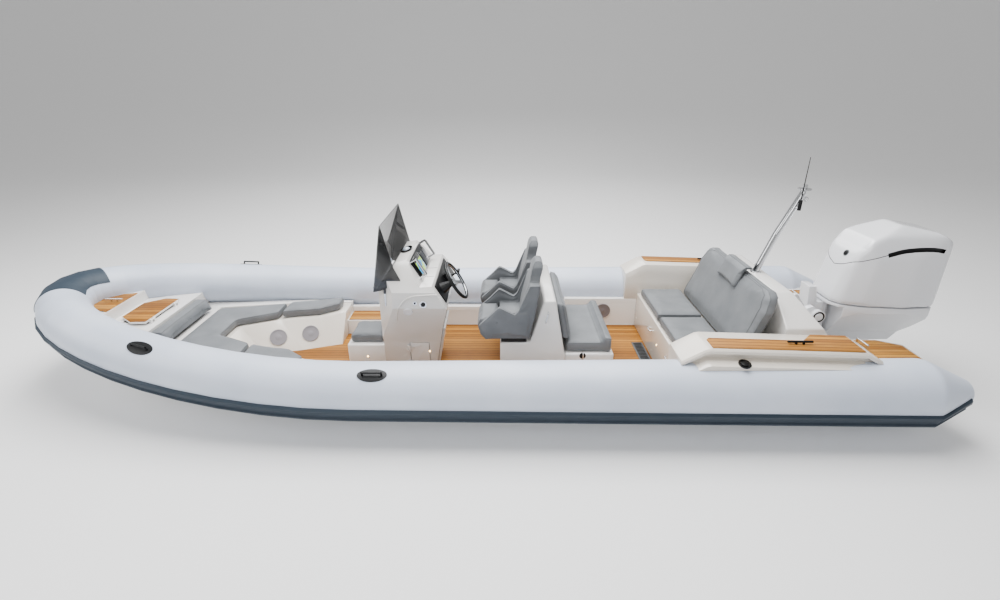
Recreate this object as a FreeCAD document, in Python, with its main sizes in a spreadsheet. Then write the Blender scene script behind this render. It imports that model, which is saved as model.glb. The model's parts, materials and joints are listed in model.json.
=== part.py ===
import FreeCAD, Part
import math
import os

import Sketcher

# Rigid inflatable boat with one outboard motor, in millimetres.
# +X points to the bow, +Y to port and +Z up; the origin is on the centreline,
# amidships, at the waterline when afloat.

SIZES = {
    # Buoyancy tube: one straight length each side, closed by a bow that rises
    "tube_half_spacing": 1136,
    "tube_height": 404,
    "tube_stern_radius": 273,
    "tube_bend_radius": 235,
    "tube_bow_radius": 210,
    "tube_tip_x": -4084,
    "tube_shoulder_x": -3713,
    "tube_tip_radius": 99,
    "tube_tip_rounding": 52,
    "tube_shoulder_rounding": 150,
    "bend_x": 871,
    "bow_axis_x": 3886,
    "bow_rise": 343,
    "tube_fit": 0.4,
    "running_gap": 0.05,
    # Rubbing strake round the outside of the tube
    "strake_half_width": 71,
    "strake_base": 7,
    "strake_ridge": 23,
    "strake_ridge_width": 43,
    "strake_angle": 24,
    # Patch over the top of the bow
    "patch_thickness": 4,
    # Hull bottom, a deep vee
    "transom_x": -3243,
    "keel_depth": 395,
    "chine_half_width": 940,
    # Inner moulding with its self-draining floor
    "pan_bottom": 19,
    "sole_height": 66,
    "teak_thickness": 8,
    "liner_half_width": 907,
    "well_half_width": 822,
    "coaming_height": 291,
    "coaming_aft_height": 395,
    "coaming_step_x": -1015,
    "well_bow_x": 2773,
    "well_bow_half_width": 526,
    "step_front_x": 1410,
    "step_rear_x": 846,
    "step_inner": 573,
    "step_height": 235,
    # Bow deck with its locker
    "bow_deck_x": 2968,
    "bow_deck_height": 564,
    "bow_step_x": 3422,
    "bow_step_height": 686,
    "bow_step_end_x": 3671,
    "bow_step_half_width": 235,
    "bow_panel": 18,
    "locker_depth": 244,
    "hatch_rear_x": 3055,
    "hatch_front_x": 3351,
    "hatch_half_width": 282,
    "hatch_corner": 103,
    "hatch_thickness": 22,
    "hatch_lift": 23,
    "pin_radius": 5,
    "knuckle_radius": 10,
    "knuckle_length": 24,
    "kingpin_radius": 23,
    "propeller_shaft_radius": 19,
    # Bow seats
    "bow_seat_height": 338,
    "bow_cushion": 94,
    "bow_seat_rear_x": 1410,
    "bow_mouth_half_width": 583,
    "bow_knee_x": 1645,
    "bow_knee_half_width": 432,
    "bow_waist_x": 2059,
    "bow_waist_half_width": 348,
    "bow_nose_x": 2406,
    "bow_nose_half_width": 160,
    "bow_back_foot_x": 2782,
    "bow_back_half_width": 414,
    "speaker_radius": 86,
    "speaker_depth": 10,
    # Console
    "console_front_x": 808,
    "console_front_height": 978,
    "console_brow_x": 630,
    "console_brow_height": 1222,
    "console_ridge_x": 526,
    "console_ridge_height": 1243,
    "dash_foot_x": 404,
    "dash_foot_height": 1039,
    "shelf_rear_x": 296,
    "shelf_height": 1045,
    "knee_x": 169,
    "knee_height": 837,
    "console_waist_x": 235,
    "console_waist_height": 564,
    "console_foot_x": 320,
    "console_half_width": 494,
    "console_flare_height": 846,
    "console_middle_half_width": 291,
    "console_middle_height": 423,
    "console_foot_half_width": 258,
    "console_wall": 22,
    "dash_panel_thickness": 10,
    "dash_panel_margin": 26,
    "door_height": 291,
    "door_bottom": 105,
    "door_length": 179,
    "door_rear_x": 376,
    "door_thickness": 16,
    "door_gap": 5,
    "footrest_thickness": 23,
    "footrest_half_width": 216,
    "footrest_length": 420,
    "wheel_radius": 193,
    "wheel_rim": 15,
    "wheel_side": 244,
    "wheel_stand_off": 160,
    "wheel_hub_radius": 45,
    "wheel_dish": 38,
    "wheel_shaft_radius": 19,
    "spoke_width": 32,
    "spoke_thickness": 8,
    # Windscreen
    "screen_foot_x": 816,
    "screen_foot_height": 982,
    "screen_top_x": 714,
    "screen_top_height": 1584,
    "screen_top_half_width": 442,
    "screen_wing_x": 564,
    "screen_wing_height": 1076,
    "screen_thickness": 8,
    "front_rail_half_width": 220,
    "front_rail_drop": 40,
    "front_rail_reach": 60,
    "dash_rail_low": 30,
    "dash_rail_high": 200,
    "dash_rail_reach": 70,
    # Seat on the front of the console
    "front_seat_x": 1194,
    "front_seat_half_width": 202,
    "front_cushion": 89,
    "ledge": 18,
    # Helm seats and their module
    "module_front_x": -310,
    "module_rear_x": -912,
    "module_half_width": 503,
    "module_shelf_height": 512,
    "module_top_height": 926,
    "module_top_front_x": -700,
    "module_top_rear_x": -808,
    "seat_spacing": 320,
    "seat_half_width": 246,
    "seat_front_x": -113,
    "seat_rear_x": -602,
    "seat_pan_height": 573,
    "seat_cushion_height": 752,
    "seat_wing_height": 888,
    "seat_wing_x": -301,
    "seat_wing": 52,
    "seat_back_height": 1090,
    "seat_back_thickness": 103,
    "head_height": 1269,
    "head_half_width": 122,
    "bolster_length": 179,
    "bolster_gap": 12,
    "pin_set": 10,
    "pin_depth": 30,
    "moving_gap": 6,
    "slide_half_width": 169,
    # Seat that faces aft behind the helm
    "aft_seat_rear_x": -1368,
    "aft_seat_half_width": 484,
    "aft_seat_height": 390,
    "aft_cushion": 108,
    "aft_pad_thickness": 75,
    "aft_pad_height": 893,
    # Aft bench
    "bench_front_x": -1880,
    "bench_rear_x": -2482,
    "bench_height": 470,
    "bench_cushion": 94,
    "bench_cushion_half_width": 752,
    "bench_back_half_width": 785,
    "bench_back_height": 1095,
    "bench_back_rake": 226,
    "bench_back_corner": 179,
    # Arms over the stern tubes
    "arm_front_x": -1739,
    "arm_crest_x": -1960,
    "arm_rear_x": -3196,
    "arm_end_x": -3328,
    "arm_height": 810,
    "arm_rear_height": 773,
    "arm_inner": 822,
    "arm_outer": 1166,
    "arm_flange": 1227,
    "cap_inner": 973,
    "cap_outer": 1142,
    # Moulding behind the bench that carries the mast
    "arch_front_x": -2707,
    "arch_rear_x": -2858,
    "arch_height": 1029,
    "arch_half_width": 526,
    # Mast
    "mast_radius": 31,
    "mast_foot_x": -2768,
    "mast_bend_x": -2895,
    "mast_bend_height": 1401,
    "mast_top_x": -3064,
    "mast_top_height": 1795,
    # Stern platforms
    "platform_rear_x": -3995,
    "platform_inner": 400,
    "platform_height": 509,
    "platform_thickness": 160,
    "platform_corner_x": -3798,
    "platform_corner": 103,
    # Outboard motor
    "swivel_x": -3478,
    "tilt_x": -3346,
    "tilt_height": 649,
    "clamp_half_width": 179,
    "cowl_front_x": -3422,
    "cowl_rear_x": -4465,
    "cowl_half_width": 282,
    "cowl_top": 1528,
    "leg_half_width": 83,
    "leg_front_x": -3534,
    "leg_rear_x": -3910,
    "plate_height": -310,
    "gearcase_radius": 68,
    "gearcase_height": -526,
    "gearcase_front_x": -3422,
    "gearcase_rear_x": -3976,
    "skeg_bottom": -752,
    "propeller_radius": 188,
    "propeller_hub_radius": 55,
    "propeller_length": 113,
    "propeller_gap": 6,
    # Further sizes of the mouldings
    "bow_board_x": 3553,
    "floor_hatch_x": -1871,
    "floor_hatch_length": 118,
    "floor_hatch_half_width": 367,
    "floor_hatch_gap": 3,
    "floor_hatch_frame": 23,
    "speaker_aft_x": 1739,
    "speaker_front_x": 2049,
    "speaker_stern_x": -1504,
    "speaker_stern_height": 244,
    "console_nose_x": 649,
    "console_nose_half_width": 310,
    "seat_dip_x": -442,
    "seat_dip_height": 816,
    "pillow_drop": 160,
    "pillow_thickness": 49,
    "pillow_half_width": 212,
    "arm_lip": 39,
    "arm_recess": 41,
    "cap_widen_x": -2773,
    "cap_wide_x": -2886,
    "cap_wide_inner": 860,
    "skeg_half_width": 8,
    "cleat_x": -2707,
    "cleat_y": 1043,
    "cleat_radius": 9,
    "cleat_height": 22,
    "cleat_length": 200,
    "cleat_post_reach": 30,
    "bow_cleat_height": 30,
    "bow_cleat_length": 160,
    "stern_handle_x": -3563,
    "stern_handle_y": 503,
    "stern_handle_length": 150,
    "stern_handle_rise": 60,
    "arch_handle_x": -2961,
    "arch_handle_y": 423,
    "arch_handle_length": 130,
    "arch_handle_rise": 70,
    "tube_handle_x": 686,
    "tube_handle_bow_x": 2632,
    "tube_handle_lean": 62,
    "tube_pad": 4,
    "tube_pad_width": 235,
    "tube_pad_half": 58,
    "well_rear_x": -2486,
    "well_taper_x": 1410,
    "coaming_front_height": 414,
    "coaming_seat_height": 346,
    "liner_mid_x": 1880,
    "liner_mid_half_width": 846,
    "liner_bow_half_width": 602,
    "hull_skin": 24,
    "seat_fit": 3,
    "soft_gap": 0.3,
    "bow_floor_height": 282,
    "mouth_foot_half_width": 321,
    "mouth_knee_foot_x": 1598,
    "mouth_knee_foot_half_width": 244,
    "mouth_waist_foot_x": 1795,
    "mouth_waist_foot_half_width": 169,
    "mouth_nose_foot_x": 2162,
    "mouth_nose_foot_half_width": 75,
    "cushion_rear_half_width": 790,
    "cushion_mid_x": 1936,
    "cushion_mid_half_width": 667,
    "cushion_front_x": 2773,
    "cushion_front_half_width": 470,
    "cushion_inset": 11,
    "cushion_split": 6,
    "bow_back_height": 560,
    "console_shoulder_height": 996,
    "console_shoulder_half_width": 418,
    "console_shoulder_top": 1128,
    "console_ridge_half_width": 310,
    "rail_radius": 11,
    "front_seat_top": 331,
    "transom_top": 564,
    "transom_lip_x": -3215,
    "arm_step_height": 691,
    "arm_bottom": 395,
    "clamp_rear_x": -3440,
    "clamp_bottom": 235,
    "clamp_top": 738,
    "clamp_inner": 122,
    "swivel_bottom": 282,
    "swivel_top": 743,
    "swivel_radius": 60,
    "swivel_head": 904,
    "swivel_head_half_width": 77,
    "tilt_tube_radius": 24,
    "leg_gap": 12,
    "cowl_bottom": 782,
    "cowl_wall": 11,
    "cowl_drop": 47,
    "whip_radius": 5,
    "whip_height": 2115,
    "handle_radius": 11,
    "teak_margin": 14,
}


class Length:
    """A number together with the spreadsheet expression that gives it."""

    def __init__(self, value, text):
        self.value = float(value)
        self.text = text

    def _join(self, other, sign, result):
        return Length(result, "(%s %s %s)" % (self.text, sign, wrap(other).text))

    def __add__(self, other):
        return self._join(other, "+", self.value + wrap(other).value)

    def __sub__(self, other):
        return self._join(other, "-", self.value - wrap(other).value)

    def __mul__(self, factor):
        return self._join(factor, "*", self.value * wrap(factor).value)

    def __truediv__(self, factor):
        return self._join(factor, "/", self.value / wrap(factor).value)

    def __neg__(self):
        return self * -1

    __radd__ = __add__
    __rmul__ = __mul__


def wrap(number):
    """Return number as a Length, so that plain numbers and lengths mix."""
    if isinstance(number, Length):
        return number
    return Length(number, "%.6f" % number)


class Sizes:
    """Every size of the boat, each by its name in the sheet."""


doc = FreeCAD.newDocument("rigid_inflatable_boat")
sheet = doc.addObject("Spreadsheet::Sheet", "sizes")
size = Sizes()
for row, (alias, number) in enumerate(SIZES.items(), start=1):
    sheet.set("A%d" % row, str(number))
    sheet.setAlias("A%d" % row, alias)
doc.recompute()
for alias in SIZES:
    setattr(size, alias, Length(sheet.get(alias), "sizes." + alias))

nodes = []
FORWARD = FreeCAD.Vector(1, 0, 0)
TO_PORT = FreeCAD.Vector(0, 1, 0)
UP = FreeCAD.Vector(0, 0, 1)
SIDES = (("port", 1), ("starboard", -1))

# For each sketch plane: its two axes, its normal and the letter of that normal
PLANES = {
    "XY": (FORWARD, TO_PORT, UP, "z"),
    "XZ": (FORWARD, UP, TO_PORT, "y"),
    "YZ": (TO_PORT, UP, FORWARD, "x"),
}


def vector(x, y, z):
    """Return a vector from three lengths or numbers."""
    return FreeCAD.Vector(wrap(x).value, wrap(y).value, wrap(z).value)


def node(label, thing):
    """Make thing a sub-part of the boat under its own label."""
    thing.Label = label
    nodes.append(thing)
    return thing


def outline(name, plane, corners, level):
    """Sketch a closed outline of straight lines, its corners bound to the sheet."""
    first, second, normal, letter = PLANES[plane]
    sketch = doc.addObject("Sketcher::SketchObject", name + "_outline")
    third = first.cross(second)
    turn = FreeCAD.Rotation(first, second, third, "XYZ")
    level = wrap(level)
    sketch.Placement = FreeCAD.Placement(normal * level.value, turn)
    sketch.setExpression("Placement.Base." + letter, level.text)
    points = [(wrap(a), wrap(b)) for a, b in corners]
    count = len(points)
    for index in range(count):
        start = points[index]
        end = points[(index + 1) % count]
        line = Part.LineSegment(vector(start[0], start[1], 0), vector(end[0], end[1], 0))
        sketch.addGeometry(line, False)
    for index in range(count):
        following = (index + 1) % count
        sketch.addConstraint(Sketcher.Constraint("Coincident", index, 2, following, 1))
    for index, (across, along) in enumerate(points):
        for kind, amount in (("DistanceX", across), ("DistanceY", along)):
            tie = Sketcher.Constraint(kind, -1, 1, index, 1, amount.value)
            number = sketch.addConstraint(tie)
            sketch.setExpression("Constraints[%d]" % number, amount.text)
    return sketch


def prism(name, plane, corners, start, end):
    """Return the outline drawn out from start to end along its plane's normal."""
    sketch = outline(name, plane, corners, start)
    block = doc.addObject("Part::Extrusion", name)
    block.Base = sketch
    block.DirMode = "Custom"
    block.Dir = PLANES[plane][2]
    block.Solid = True
    span = wrap(end) - start
    block.LengthFwd = span.value
    block.setExpression("LengthFwd", span.text)
    return block


def rectangle(low_a, high_a, low_b, high_b):
    """Return the four corners of an upright rectangle."""
    return [(low_a, low_b), (high_a, low_b), (high_a, high_b), (low_a, high_b)]


def block(name, low_x, high_x, low_y, high_y, low_z, high_z):
    """Return a box between two corners, each side bound to the sheet."""
    box = doc.addObject("Part::Box", name)
    spans = (("Length", "x", low_x, high_x), ("Width", "y", low_y, high_y), ("Height", "z", low_z, high_z))
    for side, letter, low, high in spans:
        low = wrap(low)
        span = wrap(high) - low
        setattr(box, side, span.value)
        box.setExpression(side, span.text)
        box.setExpression("Placement.Base." + letter, low.text)
    return box


def cylinder(name, base, direction, radius, length):
    """Return a cylinder from base along direction."""
    rod = doc.addObject("Part::Cylinder", name)
    rod.setExpression("Radius", wrap(radius).text)
    rod.setExpression("Height", wrap(length).text)
    turn = FreeCAD.Rotation(UP, direction)
    rod.Placement = FreeCAD.Placement(vector(*base), turn)
    for letter, amount in zip("xyz", base):
        rod.setExpression("Placement.Base." + letter, wrap(amount).text)
    return rod


def feature(name, shape):
    """Return a plain shape as an object of the document."""
    thing = doc.addObject("Part::Feature", name)
    thing.Shape = shape
    return thing


def cut(name, base, *tools):
    """Return base less every tool."""
    result = base
    for number, tool in enumerate(tools):
        step = doc.addObject("Part::Cut", "%s_%d" % (name, number))
        step.Base = result
        step.Tool = tool
        result = step
    return result


def fuse(name, *parts):
    """Return all the parts as one."""
    joined = doc.addObject("Part::MultiFuse", name)
    joined.Shapes = list(parts)
    joined.Refine = False
    return joined


def common(name, first, second):
    """Return what two solids share."""
    shared = doc.addObject("Part::Common", name)
    shared.Base = first
    shared.Tool = second
    return shared


def rounded(name, base, radius, chosen):
    """Round the edges of base that chosen(edge) picks."""
    doc.recompute()
    picked = []
    for number, edge in enumerate(base.Shape.Edges, start=1):
        if chosen(edge):
            picked.append((number, wrap(radius).value, wrap(radius).value))
    fillet = doc.addObject("Part::Fillet", name)
    fillet.Base = base
    fillet.Edges = picked
    return fillet


def runs_along(axis):
    """Return a test for straight edges that run along axis."""
    def test(edge):
        if len(edge.Vertexes) != 2 or edge.Curve.TypeId != "Part::GeomLine":
            return False
        way = edge.Vertexes[1].Point - edge.Vertexes[0].Point
        return way.normalize().cross(axis).Length < 1e-3
    return test


def rod_along(points, radius):
    """Return a round bar along straight runs joined by bends."""
    spine = Part.Wire(Part.makePolygon(points).Edges)
    start = points[1] - points[0]
    section = Part.Wire([Part.makeCircle(radius, points[0], start)])
    return spine.makePipeShell([section], True, False, 2)


def handle(foot, other_foot, rise, radius, outwards):
    """Return a round handle: two straight feet and a bar that stands off between them."""
    corners = [foot, foot + outwards * rise, other_foot + outwards * rise, other_foot]
    return rod_along(corners, radius)


def turned_to(shape, centre, axis):
    """Return shape, made about +Z at the origin, set on centre with its axis turned."""
    turned = shape.copy()
    turned.Placement = FreeCAD.Placement(centre, FreeCAD.Rotation(UP, axis))
    return turned


def hinge_pieces(centre, axis):
    """Return a hinge's fixed knuckles and the moving knuckle whose pin runs in them."""
    radius = size.knuckle_radius.value
    length = size.knuckle_length.value
    pin = size.pin_radius.value
    gap = size.running_gap.value
    moving = Part.makeCylinder(radius, length - 2, FreeCAD.Vector(0, 0, 1 - length / 2))
    moving = moving.fuse(Part.makeCylinder(pin, length * 2.6, FreeCAD.Vector(0, 0, -length * 1.3)))
    fixed = []
    for low in (-length * 1.5, length * 0.5):
        knuckle = Part.makeCylinder(radius, length, FreeCAD.Vector(0, 0, low))
        bore = Part.makeCylinder(pin + gap, length * 1.2, FreeCAD.Vector(0, 0, low - length * 0.1))
        fixed.append(turned_to(knuckle.cut(bore), centre, axis))
    return fixed, turned_to(moving, centre, axis)


def plate_at(centre, along, out, length, width, thickness):
    """Return a plate lying on centre: length along, width to port, thickness out."""
    plate = Part.makeBox(length, width, thickness, FreeCAD.Vector(-length / 2, -width / 2, 0))
    plate.Placement = FreeCAD.Placement(centre, FreeCAD.Rotation(along, out.cross(along), out, "XYZ"))
    return plate


# Buoyancy tube

def bow_station(turn):
    """Return centre, tangent, outward, upward and radius at turn degrees round the bow."""
    side = 1.0
    if turn > 90:
        side = -1.0
        turn = 180.0 - turn
    centre = bow_axis_point(turn)
    before = bow_axis_point(max(turn - 0.5, 0.0))
    after = bow_axis_point(min(turn + 0.5, 90.0))
    tangent = (after - before).normalize()
    if turn < 0.01:
        tangent = FreeCAD.Vector(1, 0, 0)
    if turn > 89.99:
        tangent = FreeCAD.Vector(0, -1, 0)
    tangent.x *= side
    tangent.z *= side
    centre.y *= side
    outward = UP.cross(tangent).normalize()
    upward = tangent.cross(outward)
    share = turn / 90.0
    radius = size.tube_bend_radius.value * (1 - share) + size.tube_bow_radius.value * share
    return centre, tangent, outward, upward, radius


def bow_axis_point(turn):
    """Return the point of the tube's axis at turn degrees, from the port bend to the bow."""
    angle = math.radians(turn)
    reach = size.bow_axis_x.value - size.bend_x.value
    ahead = math.sin(angle) ** BOW_POWER_X
    x = size.bend_x.value + reach * ahead
    y = size.tube_half_spacing.value * max(math.cos(angle), 0.0) ** BOW_POWER_Y
    z = size.tube_height.value + size.bow_rise.value * ahead ** BOW_POWER_Z
    return FreeCAD.Vector(x, y, z)


def side_station(x, side):
    """Return the tube's station at x on its straight length."""
    centre = FreeCAD.Vector(x, side * size.tube_half_spacing.value, size.tube_height.value)
    tangent = FreeCAD.Vector(side, 0, 0)
    outward = FreeCAD.Vector(0, side, 0)
    shoulder = size.tube_shoulder_x.value
    if x < shoulder:
        share = (shoulder - x) / (shoulder - size.tube_tip_x.value)
        radius = size.tube_stern_radius.value * (1 - share) + size.tube_tip_radius.value * share
    else:
        share = (x - shoulder) / (size.bend_x.value - shoulder)
        radius = size.tube_stern_radius.value * (1 - share) + size.tube_bend_radius.value * share
    return centre, tangent, outward, UP, radius


def on_section(station, across, along):
    """Return the point across and along the section's outward and upward axes."""
    return station[0] + station[2] * across + station[3] * along


def ring(station, extra):
    """Return the tube's circle at a station, extra larger in radius."""
    centre, tangent, outward, upward, radius = station
    circle = Part.makeCircle(radius + extra)
    circle.Placement = FreeCAD.Placement(centre, FreeCAD.Rotation(outward, upward, tangent, "XYZ"))
    return Part.Wire([circle])


def bow_tube_shape(extra):
    """Return the tube's curved bow as a solid, extra larger in radius."""
    rings = [ring(bow_station(turn), extra) for turn in BOW_TURNS]
    return Part.makeLoft(rings, True, True)


def side_tube(label, side, extra):
    """Return one straight tube with its tapered end, turned about its axis."""
    body = doc.addObject("PartDesign::Body", label + "_body")
    body.Placement.Base = vector(0, size.tube_half_spacing * side, size.tube_height)
    body.setExpression("Placement.Base.y", (size.tube_half_spacing * side).text)
    body.setExpression("Placement.Base.z", size.tube_height.text)
    sketch = body.newObject("Sketcher::SketchObject", label + "_profile")
    origin_plane = [f for f in body.Origin.OriginFeatures if f.Role == "XZ_Plane"][0]
    sketch.AttachmentSupport = [(origin_plane, "")]
    sketch.MapMode = "FlatFace"
    corners = [
        (size.tube_tip_x - extra, 0),
        (size.tube_tip_x - extra, size.tube_tip_radius + extra),
        (size.tube_shoulder_x, size.tube_stern_radius + extra),
        (size.bend_x, size.tube_bend_radius + extra),
        (size.bend_x, 0),
    ]
    points = [(wrap(a), wrap(b)) for a, b in corners]
    for index in range(len(points)):
        start = points[index]
        end = points[(index + 1) % len(points)]
        sketch.addGeometry(Part.LineSegment(vector(start[0], start[1], 0), vector(end[0], end[1], 0)), False)
    for index in range(len(points)):
        sketch.addConstraint(Sketcher.Constraint("Coincident", index, 2, (index + 1) % len(points), 1))
    for index, (across, along) in enumerate(points):
        for kind, amount in (("DistanceX", across), ("DistanceY", along)):
            number = sketch.addConstraint(Sketcher.Constraint(kind, -1, 1, index, 1, amount.value))
            sketch.setExpression("Constraints[%d]" % number, amount.text)
    turned = body.newObject("PartDesign::Revolution", label + "_turned")
    turned.Profile = sketch
    turned.ReferenceAxis = (sketch, ["H_Axis"])
    turned.Angle = 360
    body.Tip = turned
    doc.recompute()
    if extra:
        return body
    for radius_name, name in ((size.tube_tip_radius, "tip"), (size.tube_stern_radius, "shoulder")):
        edges = []
        rounded_so_far = body.Tip
        for number, edge in enumerate(rounded_so_far.Shape.Edges, start=1):
            if edge.Curve.TypeId == "Part::GeomCircle" and abs(edge.Curve.Radius - radius_name.value) < 0.01:
                edges.append("Edge%d" % number)
        fillet = body.newObject("PartDesign::Fillet", label + "_" + name)
        fillet.Base = (rounded_so_far, edges)
        rounding = size.tube_tip_rounding if name == "tip" else size.tube_shoulder_rounding
        fillet.Radius = rounding.value
        fillet.setExpression("Radius", rounding.text)
        body.Tip = fillet
        doc.recompute()
    return body


BOW_POWER_X = 1.036
BOW_POWER_Y = 1.015
BOW_POWER_Z = 1.75
BOW_TURNS = [180 * step / 26 for step in range(27)]

for side_name, side in SIDES:
    node("tube_" + side_name, side_tube("tube_" + side_name, side, 0))
node("tube_bow", feature("tube_bow", bow_tube_shape(0)))
tube_room = fuse(
    "tube_room",
    side_tube("tube_room_port", 1, size.tube_fit),
    side_tube("tube_room_starboard", -1, size.tube_fit),
    feature("tube_room_bow", bow_tube_shape(size.tube_fit.value)),
)


# Rubbing strake and bow patch

def strake_section(station):
    """Return the strake's outline on one station of the tube: a base with two ridges."""
    lean = math.radians(size.strake_angle.value)
    radius = station[4]
    out = station[2] * math.cos(lean) - station[3] * math.sin(lean)
    along = station[2] * math.sin(lean) + station[3] * math.cos(lean)
    half = size.strake_half_width.value
    base = size.strake_base.value
    ridge = size.strake_ridge.value
    crest = size.strake_ridge_width.value
    sunk = -size.strake_ridge.value
    flat = half - crest
    profile = [
        (half, sunk), (half, base), (half - crest * 0.2, ridge), (half - crest * 0.8, ridge), (flat, base),
        (-flat, base), (-half + crest * 0.8, ridge), (-half + crest * 0.2, ridge), (-half, base),
        (-half, sunk),
    ]
    corners = []
    for across, height in profile:
        drop = radius - math.sqrt(radius * radius - across * across)
        corners.append(station[0] + out * (radius + height - drop) + along * across)
    corners.append(corners[0])
    return Part.makePolygon(corners)


def strake_shape():
    """Return the strake from one stern tip round the bow to the other."""
    tip = size.tube_tip_x.value + size.tube_tip_rounding.value
    lengths = []
    for side in (1, -1):
        stations = [tip, size.tube_shoulder_x.value, size.bend_x.value]
        for first, last in zip(stations, stations[1:]):
            wires = [strake_section(side_station(first, side)), strake_section(side_station(last, side))]
            lengths.append(Part.makeLoft(wires, True, True))
    bow = [strake_section(bow_station(turn)) for turn in BOW_TURNS]
    lengths.append(Part.makeLoft(bow, True, True))
    return lengths[0].multiFuse(lengths[1:])


def patch_section(station):
    """Return the patch's outline: a thin band over the top of the tube."""
    inner = station[4] + size.tube_fit.value
    outer = inner + size.patch_thickness.value
    corners = []
    for radius, degrees in ((inner, 150), (inner, 78), (inner, 6), (outer, 6), (outer, 78), (outer, 150)):
        angle = math.radians(degrees)
        corners.append(on_section(station, radius * math.cos(angle), radius * math.sin(angle)))
    under = Part.Arc(corners[0], corners[1], corners[2]).toShape()
    over = Part.Arc(corners[3], corners[4], corners[5]).toShape()
    ends = [Part.makeLine(corners[2], corners[3]), Part.makeLine(corners[5], corners[0])]
    return Part.Wire([under, ends[0], over, ends[1]])


strake_blank = feature("strake_blank", strake_shape())
node("rub_strake", cut("rub_strake", strake_blank, tube_room))
patch_wires = [patch_section(bow_station(turn)) for turn in BOW_TURNS[11:16]]
node("bow_patch", feature("bow_patch", Part.makeLoft(patch_wires, True, True)))


# Hull and its inner moulding

HULL_STATIONS = [
    ("transom_x", 0.0, 1.00, 1.00, -19, 1043, 235),
    ("transom_x", 1.0, 1.00, 0.99, 0, 1043, 235),
    ("bend_x", 0.02, 0.95, 0.94, 38, 1039, 254),
    ("bend_x", 0.35, 0.76, 0.80, 103, 987, 315),
    ("bend_x", 0.64, 0.36, 0.56, 216, 818, 414),
    ("bend_x", 0.83, -0.19, 0.33, 348, 602, 508),
    ("bend_x", 0.985, -1.14, 0.04, 545, 85, 620),
]


def hull_shape(inset, top):
    """Return the hull's form, smaller by inset all round and with its sides raised to top."""
    wires = []
    for start, share, keel, chine, chine_height, sheer, sheer_height in HULL_STATIONS:
        if start == "transom_x":
            x = size.transom_x.value * (1 - share)
        else:
            x = size.bend_x.value + (size.bow_axis_x.value - size.bend_x.value) * share
        keel_height = -size.keel_depth.value * keel + inset * 1.2
        out = max(size.chine_half_width.value * chine - inset, 4.0)
        side = max(sheer - inset, 8.0)
        low = chine_height + inset * 0.6
        ends = [(0, keel_height), (out, low), (side, sheer_height), (side, top)]
        points = [FreeCAD.Vector(x, y, z) for y, z in ends]
        points += [FreeCAD.Vector(x, -y, z) for y, z in reversed(ends[1:])]
        wires.append(Part.makePolygon(points + [points[0]]))
    return Part.makeLoft(wires, True, True)


def liner_plan(name, low, high):
    """Return the inner moulding's block as seen from above, from low to high."""
    half = [
        (size.transom_x, size.liner_half_width),
        (size.bend_x, size.liner_half_width),
        (size.liner_mid_x, size.liner_mid_half_width),
        (size.bow_deck_x, size.liner_bow_half_width),
    ]
    return prism(name, "XY", mirrored(half), low, high)


def mirrored(half):
    """Return the corners of a plan that is the same on both sides of the centreline."""
    return [(x, y) for x, y in half] + [(x, -wrap(y)) for x, y in reversed(half)]


def well_plan(name, margin, low, high):
    """Return the well's block, smaller by margin, from low to high."""
    half = [
        (size.well_rear_x + margin, size.well_half_width - margin),
        (size.well_taper_x, size.well_half_width - margin),
        (size.liner_mid_x, size.well_half_width * 0.93 - margin),
        (size.well_bow_x - margin, size.well_bow_half_width - margin),
    ]
    return prism(name, "XY", mirrored(half), low, high)


side_top = size.bow_step_height * 2
liner_blank = liner_plan("liner_blank", size.pan_bottom, side_top)
liner_side = prism("liner_side", "XZ", [
    (size.transom_x, size.pan_bottom),
    (size.bow_deck_x, size.pan_bottom),
    (size.bow_deck_x, size.coaming_front_height),
    (size.step_front_x, size.coaming_seat_height),
    (size.step_front_x, size.coaming_height),
    (size.coaming_step_x, size.coaming_height),
    (size.coaming_step_x - 40, size.coaming_aft_height),
    (size.transom_x, size.coaming_aft_height),
], -size.arm_flange, size.arm_flange)
hull_room = feature("hull_room", hull_shape(size.hull_skin.value, size.bow_step_height.value * 2))
teak_room = feature("teak_room", hull_shape(size.hull_skin.value + size.teak_margin.value, side_top.value))
liner_form = common("liner_form", common("liner_shape", liner_blank, liner_side), hull_room)
bow_blank = prism("bow_blank", "XZ", [
    (size.bow_deck_x, size.bow_floor_height),
    (size.bow_axis_x, size.bow_floor_height + 120),
    (size.bow_axis_x, size.bow_step_height),
    (size.bow_step_x, size.bow_step_height),
    (size.bow_step_x, size.bow_deck_height + 18),
    (size.bow_deck_x, size.bow_deck_height),
], -size.arm_outer, size.arm_outer)
bow_form = common("bow_form", bow_blank, hull_room)
bow_board_half = [
    (size.bow_step_x + size.teak_margin, size.bow_step_half_width),
    (size.bow_board_x, size.bow_step_half_width * 0.86),
    (size.bow_step_end_x, size.bow_step_half_width * 0.34),
]

hull_block = feature("hull_block", hull_shape(0, side_top.value))
hull_blank = cut("hull_blank", hull_block, liner_form, bow_form)
hull_top = prism("hull_top", "XZ", [
    (size.transom_x * 1.1, size.coaming_height * 0.9),
    (size.transom_x * 1.1, side_top),
    (size.bow_axis_x * 1.1, side_top),
    (size.bow_axis_x * 1.1, size.bow_deck_height),
    (size.bow_deck_x, size.coaming_front_height),
    (size.step_front_x, size.coaming_height * 0.9),
], -size.arm_flange, size.arm_flange)
node("hull", cut("hull", hull_blank, hull_top, tube_room))

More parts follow.
